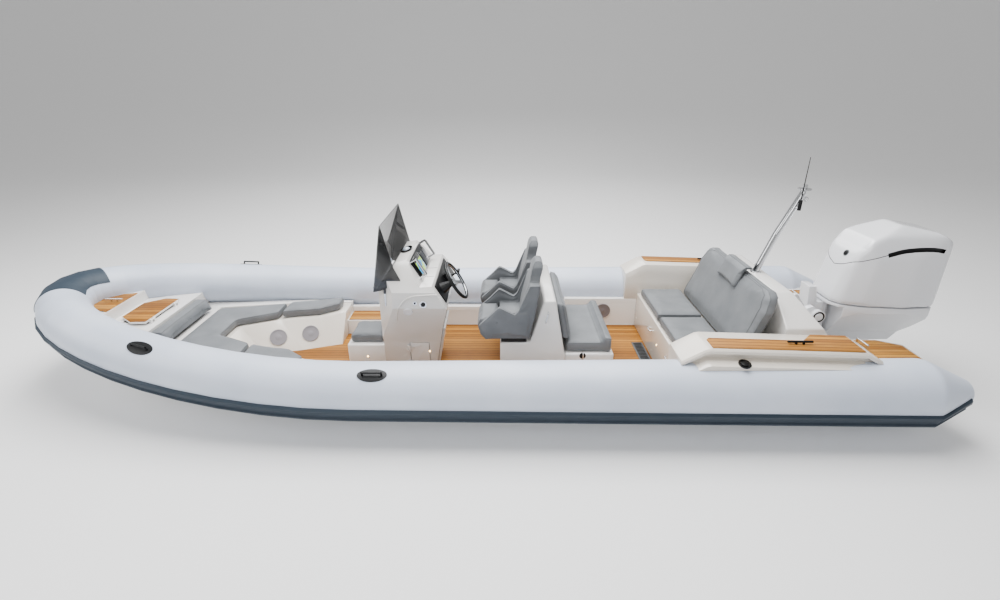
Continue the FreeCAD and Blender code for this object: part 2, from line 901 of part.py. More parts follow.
floor = size.sole_height - size.teak_thickness
well = well_plan("well", 0, floor, side_top)
steps = []
for side_name, side in SIDES:
    edges = sorted([size.step_inner * side, size.well_half_width * side], key=lambda edge: edge.value)
    top = size.step_height - size.teak_thickness
    step = block("side_step_" + side_name, size.step_rear_x, size.step_front_x,
                 edges[0], edges[1], floor, top)
    steps.append(common("side_step_fitted_" + side_name, step, hull_room))
node("deck_liner", fuse("deck_liner", cut("liner_cut", liner_form, well, tube_room), *steps))

teak_boards = []
for side_name, side in SIDES:
    edges = sorted([(size.step_inner + size.teak_margin) * side, size.well_half_width * side],
                   key=lambda edge: edge.value)
    board = block("step_board_" + side_name,
                  size.step_rear_x + size.teak_margin, size.step_front_x - size.teak_margin,
                  edges[0], edges[1], size.step_height - size.teak_thickness, size.step_height)
    teak_boards.append(common("step_teak_" + side_name, board, teak_room))

sole_blank = well_plan("sole_blank", size.teak_margin, floor, size.sole_height)
step_room = [
    block("step_room_%d" % side, size.step_rear_x - size.teak_margin, size.step_front_x + size.teak_margin,
          (size.step_inner - size.teak_margin) if side > 0 else -size.arm_outer,
          size.arm_outer if side > 0 else (size.teak_margin - size.step_inner), 0, size.step_height)
    for side in (1, -1)
]
sole_form = common("sole_form", sole_blank, hull_room)
hatch_edges = (size.floor_hatch_x, size.floor_hatch_x + size.floor_hatch_length,
               -size.floor_hatch_half_width, size.floor_hatch_half_width)
hatch_gap = size.floor_hatch_gap
floor_hatch_room = block("floor_hatch_room", hatch_edges[0] - hatch_gap, hatch_edges[1] + hatch_gap,
                         hatch_edges[2] - hatch_gap, hatch_edges[3] + hatch_gap, 0, size.step_height)
node("teak_sole", cut("teak_sole", sole_form, floor_hatch_room, *step_room))
hatch_lid = block("floor_hatch_lid", *hatch_edges, floor, size.sole_height)
hatch_panel_room = block(
    "floor_hatch_panel_room",
    hatch_edges[0] + size.floor_hatch_frame, hatch_edges[1] - size.floor_hatch_frame,
    hatch_edges[2] + size.floor_hatch_frame, hatch_edges[3] - size.floor_hatch_frame,
    size.sole_height - size.teak_thickness * 0.4, size.sole_height + 1)
node("floor_hatch", cut("floor_hatch", hatch_lid, hatch_panel_room))

locker = block("locker", size.hatch_rear_x + size.bow_panel, size.hatch_front_x - size.bow_panel * 2,
               -size.bow_step_half_width, size.bow_step_half_width,
               size.bow_deck_height - size.locker_depth + 18, side_top)
hatch_plan = [
    (size.hatch_rear_x, size.hatch_half_width),
    (size.hatch_front_x - size.hatch_corner * 1.5, size.hatch_half_width + 8),
    (size.hatch_front_x, size.hatch_half_width * 0.6),
]
hatch_low = size.bow_deck_height + size.hatch_lift
hatch_panel = prism("hatch_panel", "XY", mirrored(hatch_plan), hatch_low, hatch_low + size.hatch_thickness)
hatch_moving = []
hatch_fixed = []
hatch_axis_x = size.hatch_rear_x - size.knuckle_radius - 1
hatch_axis_z = hatch_low + size.hatch_thickness / 2
for side_name, side in SIDES:
    at = vector(hatch_axis_x, size.hatch_half_width * 0.7 * side, hatch_axis_z)
    fixed, moving = hinge_pieces(at, TO_PORT)
    strap_width = size.knuckle_length.value - 2
    strap = Part.makeBox(size.knuckle_radius.value * 2 + 6, strap_width, size.hatch_thickness.value * 0.4)
    strap.translate(at - FreeCAD.Vector(0, strap_width / 2, size.hatch_thickness.value * 0.2))
    hatch_moving.append(feature("hatch_strap_" + side_name, moving.fuse(strap)))
    for number, knuckle in enumerate(fixed):
        middle = knuckle.BoundBox.Center
        foot_size = FreeCAD.Vector(size.knuckle_radius.value * 2, size.knuckle_length.value, 40)
        foot = Part.makeBox(foot_size.x, foot_size.y, foot_size.z,
                            middle - FreeCAD.Vector(foot_size.x / 2, foot_size.y / 2, foot_size.z))
        bore = Part.makeCylinder(size.pin_radius.value + size.running_gap.value, 400,
                                 middle - TO_PORT * 200, TO_PORT)
        hatch_fixed.append(feature("hatch_foot_%s_%d" % (side_name, number), knuckle.fuse(foot).cut(bore)))
bow_board = prism("bow_board", "XY", mirrored(bow_board_half), size.bow_step_height,
                  size.bow_step_height + size.teak_thickness)
teak_boards.append(cut("bow_board_fitted", bow_board, tube_room))
node("bow_deck", fuse("bow_deck", cut("bow_deck_cut", bow_form, locker, tube_room), *hatch_fixed))
node("bow_hatch", fuse("bow_hatch", hatch_panel, *hatch_moving))


# Bow seats

seat_blank = well_plan("seat_blank", size.seat_fit, size.sole_height, size.bow_seat_height)
seat_base = common("seat_base", seat_blank, hull_room)
seat_rear = block("seat_rear", size.well_rear_x, size.bow_seat_rear_x,
                  -size.arm_outer, size.arm_outer, 0, side_top)


def mouth_ring(share):
    """Return the outline of the space between the bow seats, from its foot to its top."""
    def between(foot, top):
        return foot.value * (1 - share) + top.value * share
    half = [
        (size.bow_seat_rear_x.value - 40, between(size.mouth_foot_half_width, size.bow_mouth_half_width)),
        (between(size.mouth_knee_foot_x, size.bow_knee_x),
         between(size.mouth_knee_foot_half_width, size.bow_knee_half_width)),
        (between(size.mouth_waist_foot_x, size.bow_waist_x),
         between(size.mouth_waist_foot_half_width, size.bow_waist_half_width)),
        (between(size.mouth_nose_foot_x, size.bow_nose_x),
         between(size.mouth_nose_foot_half_width, size.bow_nose_half_width)),
    ]
    z = size.sole_height.value * (1 - share) + size.bow_seat_height.value * share
    points = [FreeCAD.Vector(x, y, z) for x, y in half]
    points += [FreeCAD.Vector(x, -y, z) for x, y in reversed(half)]
    return Part.makePolygon(points + [points[0]])


mouth = feature("mouth", Part.makeLoft([mouth_ring(0.0), mouth_ring(1.0)], True, True))

cushion_low = size.bow_seat_height + size.soft_gap
cushion_high = size.bow_seat_height + size.bow_cushion
for side_name, side in SIDES:
    corners = [
        (size.bow_seat_rear_x + 55, (size.bow_mouth_half_width + size.cushion_inset) * side),
        (size.bow_knee_x, (size.bow_knee_half_width + size.cushion_inset) * side),
        (size.bow_waist_x, (size.bow_waist_half_width + size.cushion_inset) * side),
        (size.bow_waist_x, size.cushion_mid_half_width * 0.96 * side),
        (size.cushion_mid_x, size.cushion_mid_half_width * side),
        (size.bow_seat_rear_x + 55, size.cushion_rear_half_width * side),
    ]
    if side < 0:
        corners.reverse()
    label = "bow_cushion_" + side_name
    node(label, prism(label, "XY", corners, cushion_low, cushion_high))
front_half = [
    (size.bow_waist_x + size.cushion_split, size.cushion_mid_half_width * 0.95),
    (size.cushion_front_x, size.cushion_front_half_width),
    (size.cushion_front_x, -size.cushion_front_half_width),
    (size.bow_waist_x + size.cushion_split, -size.cushion_mid_half_width * 0.95),
    (size.bow_waist_x + size.cushion_split, -(size.bow_waist_half_width + size.cushion_inset)),
    (size.bow_nose_x + size.cushion_inset, -(size.bow_nose_half_width + size.cushion_inset)),
    (size.bow_nose_x + size.cushion_inset, size.bow_nose_half_width + size.cushion_inset),
    (size.bow_waist_x + size.cushion_split, size.bow_waist_half_width + size.cushion_inset),
]
node("bow_cushion_front", prism("bow_cushion_front", "XY", front_half, cushion_low, cushion_high))
node("bow_backrest", prism("bow_backrest", "XZ", [
    (size.bow_back_foot_x, cushion_high + 4),
    (size.bow_deck_x - size.soft_gap, cushion_high + 4),
    (size.bow_deck_x - size.soft_gap, size.bow_back_height),
    (size.bow_back_foot_x + 60, size.bow_back_height),
], -size.bow_back_half_width, size.bow_back_half_width))


# Loudspeakers: a round grille on each place, its back let into the moulding

def locker_face(x, rise):
    """Return the point and the outward normal of the bow seat's front face, to port."""
    low = [vertex.Point for vertex in mouth_ring(0.0).Vertexes]
    high = [vertex.Point for vertex in mouth_ring(1.0).Vertexes]
    for number in range(3):
        first = low[number] * (1 - rise) + high[number] * rise
        last = low[number + 1] * (1 - rise) + high[number + 1] * rise
        if first.x <= x <= last.x:
            share = (x - first.x) / (last.x - first.x)
            foot = low[number] * (1 - share) + low[number + 1] * share
            head = high[number] * (1 - share) + high[number + 1] * share
            across = (last - first).cross(head - foot).normalize()
            return first * (1 - share) + last * share, across
    raise ValueError("no locker face at %s" % x)


def speaker(at, out):
    """Return a loudspeaker's raised ring and grille, seated on a face."""
    radius = size.speaker_radius.value
    depth = size.speaker_depth.value
    disc = Part.makeCylinder(radius, depth, FreeCAD.Vector(0, 0, 0.2))
    dish = Part.makeCylinder(radius * 0.86, depth, FreeCAD.Vector(0, 0, depth * 0.6))
    grille = Part.makeSphere(radius * 1.6, FreeCAD.Vector(0, 0, depth - radius * 1.6))
    cap = grille.common(Part.makeCylinder(radius * 0.8, depth, FreeCAD.Vector(0, 0, 0.2)))
    return turned_to(disc.cut(dish).fuse(cap), at, out)


speakers = []
for x in (size.speaker_aft_x, size.speaker_front_x):
    at, out = locker_face(x.value, 0.48)
    if out.y > 0:
        out = out.negative()
    speakers.append(speaker(at, out))
    mirror_at = FreeCAD.Vector(at.x, -at.y, at.z)
    speakers.append(speaker(mirror_at, FreeCAD.Vector(out.x, -out.y, out.z)))
for side in (1, -1):
    at = vector(size.speaker_stern_x, size.well_half_width * side, size.speaker_stern_height)
    speakers.append(speaker(at, FreeCAD.Vector(0, -side, 0)))
speaker_set = feature("speakers", Part.makeCompound(speakers))
node("speakers", speaker_set)
node("bow_seat_moulding", cut("bow_seat_moulding", seat_base, seat_rear, mouth, tube_room, speaker_set))


# Console

def console_side(inset):
    """Return the console's outline from the side, smaller by inset."""
    return [
        (size.console_front_x - inset, size.sole_height + inset),
        (size.console_front_x - inset, size.console_front_height - inset * 0.7),
        (size.console_brow_x - inset * 0.5, size.console_brow_height - inset * 1.4),
        (size.console_ridge_x, size.console_ridge_height - inset * 1.6),
        (size.dash_foot_x + inset * 0.6, size.dash_foot_height - inset * 0.8),
        (size.shelf_rear_x + inset * 0.6, size.shelf_height - inset),
        (size.knee_x + inset * 1.1, size.knee_height),
        (size.console_waist_x + inset * 1.1, size.console_waist_height),
        (size.console_foot_x + inset, size.sole_height + inset),
    ]


def console_front(inset):
    """Return the console's outline from the front, smaller by inset."""
    half = [
        (size.console_foot_half_width - inset, size.sole_height + inset),
        (size.console_middle_half_width - inset, size.console_middle_height),
        (size.console_half_width - inset, size.console_flare_height + inset * 0.4),
        (size.console_half_width - inset, size.console_shoulder_height - inset * 0.3),
        (size.console_shoulder_half_width - inset, size.console_shoulder_top - inset * 0.6),
        (size.console_ridge_half_width - inset, size.console_ridge_height - inset),
    ]
    return half + [(-y, z) for y, z in reversed(half)]


def console_form(name, inset):
    """Return the console's solid form, smaller by inset."""
    side_form = prism(name + "_side", "XZ", console_side(inset), -size.arm_outer, size.arm_outer)
    front_form = prism(name + "_front", "YZ", console_front(inset), 0, size.bend_x * 1.5)
    half = [
        (0, size.console_half_width - inset),
        (size.console_nose_x - inset, size.console_half_width - inset),
        (size.console_front_x - inset, size.console_nose_half_width - inset),
    ]
    plan_form = prism(name + "_plan", "XY", mirrored(half), size.sole_height, size.console_ridge_height)
    return common(name, common(name + "_profile", side_form, front_form), plan_form)


console_outer = console_form("console_outer", 0)
console_inner = console_form("console_inner", size.console_wall)
console_shell = cut("console_shell", console_outer, console_inner)
door_front_x = size.door_rear_x + size.door_length
door_top = size.door_bottom + size.door_height
door_opening = block("door_opening", size.door_rear_x - size.door_gap, door_front_x + size.door_gap,
                     size.console_foot_half_width * 0.7, size.console_half_width,
                     size.door_bottom - size.door_gap, door_top + size.door_gap)
door_reach = block("door_reach", size.door_rear_x, door_front_x,
                   size.console_foot_half_width * 0.7, size.console_half_width,
                   size.door_bottom, door_top)
door_inner = console_form("door_inner", size.door_thickness)
door_shell = cut("door_shell", console_outer, door_inner)
door_panel = common("door_panel", door_shell, door_reach)
flare = FreeCAD.Vector(
    0, size.console_middle_half_width.value - size.console_foot_half_width.value,
    size.console_middle_height.value - size.sole_height.value).normalize()
door_out = FreeCAD.Vector(0, flare.z, -flare.y)
door_ears = []
door_straps = []
for share in (0.2, 0.8):
    rise = size.door_bottom.value + size.door_height.value * share - size.sole_height.value
    at = FreeCAD.Vector(door_front_x.value + size.door_gap.value / 2,
                        size.console_foot_half_width.value, size.sole_height.value)
    at = at + flare * (rise / flare.z) + door_out * (size.knuckle_radius.value + 0.5)
    fixed, moving = hinge_pieces(at, flare)
    strap = plate_at(at - FORWARD * 18 - door_out * 12.5, flare, door_out,
                     size.knuckle_length.value - 2, 36, 10)
    door_straps.append(feature("door_strap_%d" % len(door_straps), moving.fuse(strap)))
    for knuckle in fixed:
        middle = knuckle.BoundBox.Center
        ear = plate_at(middle + FORWARD * 14 - door_out * 12, flare, door_out,
                       size.knuckle_length.value, 28, 12)
        bore = Part.makeCylinder(size.pin_radius.value + size.running_gap.value, 100,
                                 middle - flare * 50, flare)
        door_ears.append(feature("door_ear_%d" % len(door_ears), knuckle.fuse(ear).cut(bore)))
node("console", fuse("console", cut("console_cut", console_shell, door_opening), *door_ears))
node("console_door", fuse("console_door", door_panel, *door_straps))


def panel_on(name, low, high, margin, thickness, half_width, lift):
    """Return a flat panel laid on a sloped face that runs from low to high."""
    rise = math.atan2(high[1].value - low[1].value, high[0].value - low[0].value)
    along = FreeCAD.Vector(math.cos(rise), 0, math.sin(rise))
    across = FreeCAD.Vector(-math.sin(rise), 0, math.cos(rise))
    foot = vector(low[0], 0, low[1])
    length = (vector(high[0], 0, high[1]) - foot).Length
    start = foot + along * margin + across * lift
    corners = [start, start + along * (length - 2 * margin)]
    corners += [corners[1] + across * thickness, corners[0] + across * thickness]
    face = Part.Face(Part.makePolygon([p - TO_PORT * half_width for p in corners + corners[:1]]))
    return feature(name, face.extrude(TO_PORT * (2 * half_width)))


dash_foot = (size.dash_foot_x, size.dash_foot_height)
dash_top = (size.console_ridge_x, size.console_ridge_height)
knee = (size.knee_x, size.knee_height)
shelf = (size.shelf_rear_x, size.shelf_height)
margin = size.dash_panel_margin.value
thick = size.dash_panel_thickness.value
upper_dash = panel_on("upper_dash", dash_foot, dash_top, margin, thick,
                      size.console_ridge_half_width.value * 0.93, 0.3)
lower_dash = panel_on("lower_dash", knee, shelf, margin, thick,
                      size.console_shoulder_half_width.value * 0.95, 0.3)
node("dashboard", fuse("dashboard", upper_dash, lower_dash))

dash_lean = math.atan2(
    size.console_ridge_height.value - size.dash_foot_height.value,
    size.console_ridge_x.value - size.dash_foot_x.value)
dash_along = FreeCAD.Vector(math.cos(dash_lean), 0, math.sin(dash_lean))
dash_out = FreeCAD.Vector(-math.sin(dash_lean), 0, math.cos(dash_lean))


dash_middle = (vector(dash_foot[0], 0, dash_foot[1]) + vector(dash_top[0], 0, dash_top[1])) * 0.5
plotter_at = dash_middle + TO_PORT * size.console_ridge_half_width.value * 0.42 + dash_out * (thick + 0.6)
node("plotter", feature("plotter", plate_at(plotter_at, dash_along, dash_out, 165, 265, 14)))

# Steering wheel, its axis square to the lower panel
wheel_lean = math.atan2(
    size.shelf_height.value - size.knee_height.value,
    size.shelf_rear_x.value - size.knee_x.value)
wheel_along = FreeCAD.Vector(math.cos(wheel_lean), 0, math.sin(wheel_lean))
wheel_axis = FreeCAD.Vector(-math.sin(wheel_lean), 0, math.cos(wheel_lean))
panel_middle = (vector(knee[0], 0, knee[1]) + vector(shelf[0], 0, shelf[1])) * 0.5
wheel_foot = panel_middle + TO_PORT * size.wheel_side.value + wheel_axis * (thick + 0.3)
wheel_centre = panel_middle + TO_PORT * size.wheel_side.value + wheel_axis * size.wheel_stand_off.value
column_length = size.wheel_stand_off.value - size.wheel_dish.value - thick - 8


column = Part.makeCone(size.wheel_hub_radius.value * 1.2, size.wheel_shaft_radius.value * 1.3, column_length)
bore = Part.makeCylinder(size.wheel_shaft_radius.value * 0.6 + size.running_gap.value, column_length)
column = column.cut(bore.translated(FreeCAD.Vector(0, 0, column_length * 0.5)))
node("steering_column", feature("steering_column", turned_to(column, wheel_foot, wheel_axis)))


def wheel_shape():
    """Return the wheel about +Z: a rim, three dished spokes and a hub."""
    rim_radius = size.wheel_radius.value - size.wheel_rim.value
    rim = Part.makeTorus(rim_radius, size.wheel_rim.value)
    dish = size.wheel_dish.value
    hub = Part.makeCylinder(size.wheel_hub_radius.value, dish * 0.6, FreeCAD.Vector(0, 0, -dish))
    shaft_length = 8 + column_length * 0.45
    shaft = Part.makeCylinder(size.wheel_shaft_radius.value * 0.6, shaft_length,
                              FreeCAD.Vector(0, 0, -dish - shaft_length))
    parts = [hub, shaft]
    for angle in (90, 210, 330):
        foot = FreeCAD.Vector(size.wheel_hub_radius.value * 0.7, 0, -dish * 0.7)
        rest = FreeCAD.Vector(rim_radius, 0, 0)
        way = rest - foot
        spoke = Part.makeBox(way.Length, size.spoke_width.value, size.spoke_thickness.value,
                             FreeCAD.Vector(0, -size.spoke_width.value / 2, -size.spoke_thickness.value / 2))
        side_way = FreeCAD.Vector(0, 1, 0)
        spoke.Placement = FreeCAD.Placement(foot, FreeCAD.Rotation(way, side_way, way.cross(side_way), "XYZ"))
        spoke.rotate(FreeCAD.Vector(0, 0, 0), UP, angle)
        parts.append(spoke)
    return rim.multiFuse(parts)


wheel = wheel_shape()
wheel_turned = FreeCAD.Rotation(wheel_along.cross(wheel_axis), wheel_along, wheel_axis, "ZYX")
wheel.Placement = FreeCAD.Placement(wheel_centre, wheel_turned)
node("steering_wheel", feature("steering_wheel", wheel))

throttle_at = panel_middle - TO_PORT * 20 + wheel_axis * (thick + 0.6)
box = plate_at(throttle_at, wheel_along, wheel_axis, 90, 60, 55)
lever = Part.makeCylinder(8, 120, throttle_at + wheel_axis * 30 + TO_PORT * 34, wheel_axis)
knob = Part.makeCylinder(14, 70, throttle_at + wheel_axis * 150 + TO_PORT * 48, TO_PORT.negative())
arm = Part.makeCylinder(9, 16, throttle_at + wheel_axis * 38 + TO_PORT * 26, TO_PORT)
node("throttle", feature("throttle", box.multiFuse([lever, knob, arm])))

foot_high = (size.console_waist_x, size.console_waist_height)
foot_lean = math.atan2(
    foot_high[1].value - size.sole_height.value, foot_high[0].value - size.console_foot_x.value)
foot_along = FreeCAD.Vector(math.cos(foot_lean), 0, math.sin(foot_lean))
foot_out = FreeCAD.Vector(-math.sin(foot_lean), 0, math.cos(foot_lean))
foot_middle = FreeCAD.Vector(
    (size.console_foot_x.value + foot_high[0].value) / 2, 0,
    (size.sole_height.value + foot_high[1].value) / 2) + foot_out * 0.3
rest = plate_at(foot_middle, foot_along, foot_out, size.footrest_length.value,
                size.footrest_half_width.value * 2, size.footrest_thickness.value)
node("footrest", feature("footrest", rest))


# Windscreen and console rails

glass = size.screen_thickness
screen_side = [
    (size.screen_foot_x, size.screen_foot_height),
    (size.screen_foot_x + glass, size.screen_foot_height),
    (size.screen_top_x + glass, size.screen_top_height),
    (size.screen_top_x, size.screen_top_height),
]
screen_front = prism("screen_front", "XZ", screen_side,
                     -size.screen_top_half_width, size.screen_top_half_width)
wings = []
for side_name, side in SIDES:
    low, high = sorted([size.screen_top_half_width * side, (size.screen_top_half_width - glass) * side],
                       key=lambda edge: edge.value)
    wings.append(prism("screen_wing_" + side_name, "XZ", [
        (size.screen_foot_x, size.screen_foot_height),
        (size.screen_top_x, size.screen_top_height),
        (size.screen_wing_x + 60, size.screen_wing_height + 130),
        (size.screen_wing_x, size.screen_wing_height),
        (size.screen_foot_x - 60, size.screen_foot_height + 12),
    ], low, high))
screen_blank = fuse("screen_blank", screen_front, *wings)
node("windscreen", cut("windscreen", screen_blank, console_outer))

rails = []
for side_name, side in SIDES:
    level = size.dash_foot_height.value
    y = side * size.console_ridge_half_width.value * 0.97
    dash_end = vector(dash_foot[0], y, dash_foot[1])
    foot = dash_end + dash_along * size.dash_rail_low.value
    head = dash_end + dash_along * size.dash_rail_high.value
    rails.append(handle(foot, head, size.dash_rail_reach.value, size.rail_radius.value, dash_out))
front_face = size.console_front_x.value
rail_height = size.console_front_height.value - size.front_rail_drop.value
foot = FreeCAD.Vector(front_face, -size.front_rail_half_width.value, rail_height)
head = FreeCAD.Vector(front_face, size.front_rail_half_width.value, rail_height)
rails.append(handle(foot, head, size.front_rail_reach.value, size.rail_radius.value, FORWARD))
node("console_rails", feature("console_rails", Part.makeCompound(rails)))


# Seat on the front of the console

front_seat = block("front_seat_moulding", size.console_front_x, size.front_seat_x,
                   -size.front_seat_half_width, size.front_seat_half_width,
                   size.sole_height, size.front_seat_top)
node("front_seat_moulding", front_seat)
front_pad = block("front_seat_pad", size.console_front_x + size.ledge, size.front_seat_x - size.ledge,
                  -size.front_seat_half_width + size.ledge, size.front_seat_half_width - size.ledge,
                  size.front_seat_top + size.soft_gap, size.front_seat_top + size.front_cushion)
node("front_seat_cushion", rounded("front_seat_cushion", front_pad, 28, runs_along(UP)))


# Helm seats and their module

node("helm_module", prism("helm_module", "XZ", [
    (size.module_front_x, size.sole_height),
    (size.module_front_x, size.module_shelf_height),
    (size.seat_rear_x + 20, size.module_shelf_height),
    (size.module_top_front_x, size.module_top_height),
    (size.module_top_rear_x, size.module_top_height),
    (size.module_rear_x, size.aft_seat_height - 15),
    (size.module_rear_x, size.sole_height),
], -size.module_half_width, size.module_half_width))

slides = []
for side_name, side in SIDES:
    middle = size.seat_spacing * side
    slides.append(block(
        "seat_slide_" + side_name,
        size.module_front_x - size.slide_half_width * 1.4, size.module_front_x - 10,
        middle - size.slide_half_width, middle + size.slide_half_width,
        size.module_shelf_height, size.seat_pan_height))
    back_foot = size.seat_rear_x + size.seat_back_thickness
    inner_half = size.seat_half_width - size.seat_wing
    pan = prism("seat_pan_" + side_name, "XZ", [
        (size.seat_front_x - size.bolster_length - size.bolster_gap, size.seat_cushion_height),
        (size.seat_front_x - size.bolster_length - size.bolster_gap, size.seat_pan_height + 60),
        (size.seat_front_x - 8, size.seat_pan_height + 60),
        (size.seat_front_x - 60, size.seat_pan_height),
        (size.seat_rear_x + 30, size.seat_pan_height),
        (size.seat_rear_x - 12, size.seat_cushion_height),
    ], middle - inner_half - 1, middle + inner_half + 1)
    back = prism("seat_back_" + side_name, "XZ", [
        (back_foot, size.seat_cushion_height - 10),
        (size.seat_rear_x - 12, size.seat_cushion_height - 10),
        (size.seat_rear_x - 62, size.seat_back_height),
        (back_foot - 74, size.seat_back_height),
        (back_foot - 14, size.seat_cushion_height + 90),
    ], middle - inner_half - 1, middle + inner_half + 1)
    head_side = prism("seat_head_side_" + side_name, "XZ", [
        (back_foot - 66, size.seat_back_height - 60),
        (size.seat_rear_x - 50, size.seat_back_height - 60),
        (size.seat_rear_x - 88, size.head_height - 30),
        (size.seat_rear_x - 70, size.head_height),
        (back_foot - 118, size.head_height),
        (back_foot - 96, size.head_height - 40),
    ], middle - size.seat_half_width, middle + size.seat_half_width)
    head_half = [
        (size.head_half_width * 1.35, size.seat_back_height - 60),
        (size.head_half_width, size.seat_back_height + 50),
        (size.head_half_width, size.head_height - 50),
        (size.head_half_width * 0.7, size.head_height),
    ]
    head_outline = [(middle + y, z) for y, z in head_half]
    head_outline += [(middle - y, z) for y, z in reversed(head_half)]
    head_front = prism("seat_head_front_" + side_name, "YZ", head_outline,
                       size.module_rear_x, size.seat_front_x)
    parts = [pan, back, common("seat_head_" + side_name, head_side, head_front)]
    axis_x = size.seat_front_x - size.bolster_length + size.pin_set
    axis_z = size.seat_cushion_height - size.pin_set
    bolster_half = inner_half - size.moving_gap
    bolster_parts = [prism("bolster_block_" + side_name, "XZ", [
        (size.seat_front_x - size.bolster_length, size.seat_cushion_height),
        (size.seat_front_x - size.bolster_length, size.seat_pan_height + 60 + size.soft_gap),
        (size.seat_front_x, size.seat_pan_height + 60 + size.soft_gap),
        (size.seat_front_x + 10, size.seat_cushion_height - 60),
        (size.seat_front_x - 12, size.seat_cushion_height),
    ], middle - bolster_half, middle + bolster_half)]
    for wing_side in (1, -1):
        outer = middle + size.seat_half_width * wing_side
        inner = middle + inner_half * wing_side
        low, high = sorted([inner, outer], key=lambda edge: edge.value)
        label = "%s_%d" % (side_name, wing_side)
        wing = prism("seat_wing_" + label, "XZ", [
            (size.seat_front_x - 8, size.seat_pan_height + 60),
            (size.seat_front_x, size.seat_cushion_height - 40),
            (size.seat_wing_x, size.seat_wing_height),
            (size.seat_dip_x, size.seat_dip_height),
            (back_foot + 22, size.seat_dip_height + 35),
            (back_foot - 44, size.seat_back_height - 70),
            (back_foot - 70, size.seat_back_height),
            (size.seat_rear_x - 60, size.seat_back_height),
            (size.seat_rear_x - 12, size.seat_cushion_height),
            (size.seat_rear_x + 30, size.seat_pan_height),
            (size.seat_front_x - 60, size.seat_pan_height),
        ], low, high)
        bore_low = low - 1 if wing_side > 0 else high - size.pin_depth
        bore = cylinder("bolster_bore_" + label, (axis_x, bore_low, axis_z), TO_PORT,
                        size.pin_radius + size.running_gap, size.pin_depth + 1)
        parts.append(cut("seat_wing_bored_" + label, wing, bore))
        pin_low = middle + bolster_half - 20 if wing_side > 0 else middle - inner_half - size.pin_depth + 3
        bolster_parts.append(cylinder("bolster_pin_" + label, (axis_x, pin_low, axis_z), TO_PORT,
                                      size.pin_radius, size.pin_depth + size.moving_gap + 17))
    node("helm_seat_" + side_name, fuse("helm_seat_" + side_name, *parts))
    node("bolster_" + side_name, fuse("bolster_" + side_name, *bolster_parts))
node("seat_slides", fuse("seat_slides", *slides))


# Seat that faces aft behind the helm

node("aft_seat_moulding", block("aft_seat_moulding", size.aft_seat_rear_x, size.module_rear_x,
                                -size.aft_seat_half_width, size.aft_seat_half_width,
                                size.sole_height, size.aft_seat_height - 2))
aft_low = size.aft_seat_height - 2 + size.soft_gap
aft_top = size.aft_seat_height + size.aft_cushion
node("aft_seat_cushion", prism("aft_seat_cushion", "XZ", [
    (size.aft_seat_rear_x + 5, aft_low),
    (size.module_rear_x - size.soft_gap, aft_low),
    (size.module_rear_x - size.soft_gap, aft_top - 4),
    (size.aft_seat_rear_x + 120, aft_top - 4),
    (size.aft_seat_rear_x + 90, aft_top + 48),
    (size.aft_seat_rear_x + 5, aft_top + 48),
], -size.aft_seat_half_width + 10, size.aft_seat_half_width - 10))
back_rise = size.module_top_height - size.aft_seat_height + 15
back_run = (size.module_top_rear_x - size.module_rear_x) / back_rise
pad_foot_x = size.module_rear_x + back_run * (size.aft_cushion + 17)
pad_top_x = size.module_rear_x + back_run * (size.aft_pad_height - size.aft_seat_height + 15)
node("aft_seat_backrest", prism("aft_seat_backrest", "XZ", [
    (pad_foot_x - 1, aft_top + 1),
    (pad_top_x - 1, size.aft_pad_height),
    (pad_top_x - size.aft_pad_thickness, size.aft_pad_height - 20),
    (pad_foot_x - size.aft_pad_thickness, aft_top + 1),
], -size.aft_seat_half_width + 10, size.aft_seat_half_width - 10))


# Aft bench

bench_half = size.well_half_width - size.seat_fit
node("bench_moulding", block("bench_moulding", size.bench_rear_x, size.bench_front_x,
                             -bench_half, bench_half, size.sole_height, size.bench_height))
for side_name, side in SIDES:
    low, high = sorted([size.cushion_split * side * 0.5, size.bench_cushion_half_width * side],
                       key=lambda edge: edge.value)
    pad = block("bench_pad_" + side_name, size.bench_rear_x + 130, size.bench_front_x - 5, low, high,
                size.bench_height + size.soft_gap, size.bench_height + size.bench_cushion)
    node("bench_cushion_" + side_name, rounded("bench_cushion_" + side_name, pad, 20, runs_along(UP)))
back_side = prism("bench_back_side", "XZ", [
    (size.bench_rear_x + 122, size.bench_height + size.soft_gap),
    (size.bench_rear_x + 10, size.bench_height + size.soft_gap),
    (size.bench_rear_x - size.bench_back_rake + 22, size.bench_back_height),
    (size.bench_rear_x - size.bench_back_rake + 118, size.bench_back_height + 14),
], -size.arm_outer, size.arm_outer)
corner = size.bench_back_corner
half = [
    (size.bench_back_half_width, size.bench_height),
    (size.bench_back_half_width, size.bench_back_height + 20 - corner),
    (size.bench_back_half_width - corner * 0.3, size.bench_back_height + 20 - corner * 0.3),
    (size.bench_back_half_width - corner, size.bench_back_height + 20),
]
back_front = prism("bench_back_front", "YZ", half + [(-y, z) for y, z in reversed(half)],
                   size.transom_x, size.bench_front_x)
bench_back = common("bench_backrest_whole", back_side, back_front)
pillow_face = size.bench_rear_x - size.bench_back_rake + 118
pillow_run = (size.bench_back_rake + 4) / (size.bench_back_height + 14 - size.bench_height)
pillow_low = size.bench_back_height - size.pillow_drop
pillow_low_x = pillow_face + pillow_run * (size.pillow_drop + 14)
pillow_side = prism("pillow_side", "XZ", [
    (pillow_low_x + size.soft_gap, pillow_low),
    (pillow_low_x + size.pillow_thickness, pillow_low + 12),
    (pillow_face + size.pillow_thickness, size.bench_back_height + 10),
    (pillow_face + 12, size.bench_back_height + size.pillow_thickness),
    (pillow_face - 60, size.bench_back_height + size.pillow_thickness - 6),
    (pillow_face - 60, size.bench_back_height + 16),
    (pillow_face + size.soft_gap, size.bench_back_height + 16),
], -size.pillow_half_width, size.pillow_half_width)
node("bench_backrest", bench_back)
node("bench_pillow", pillow_side)


# Arms over the stern tubes

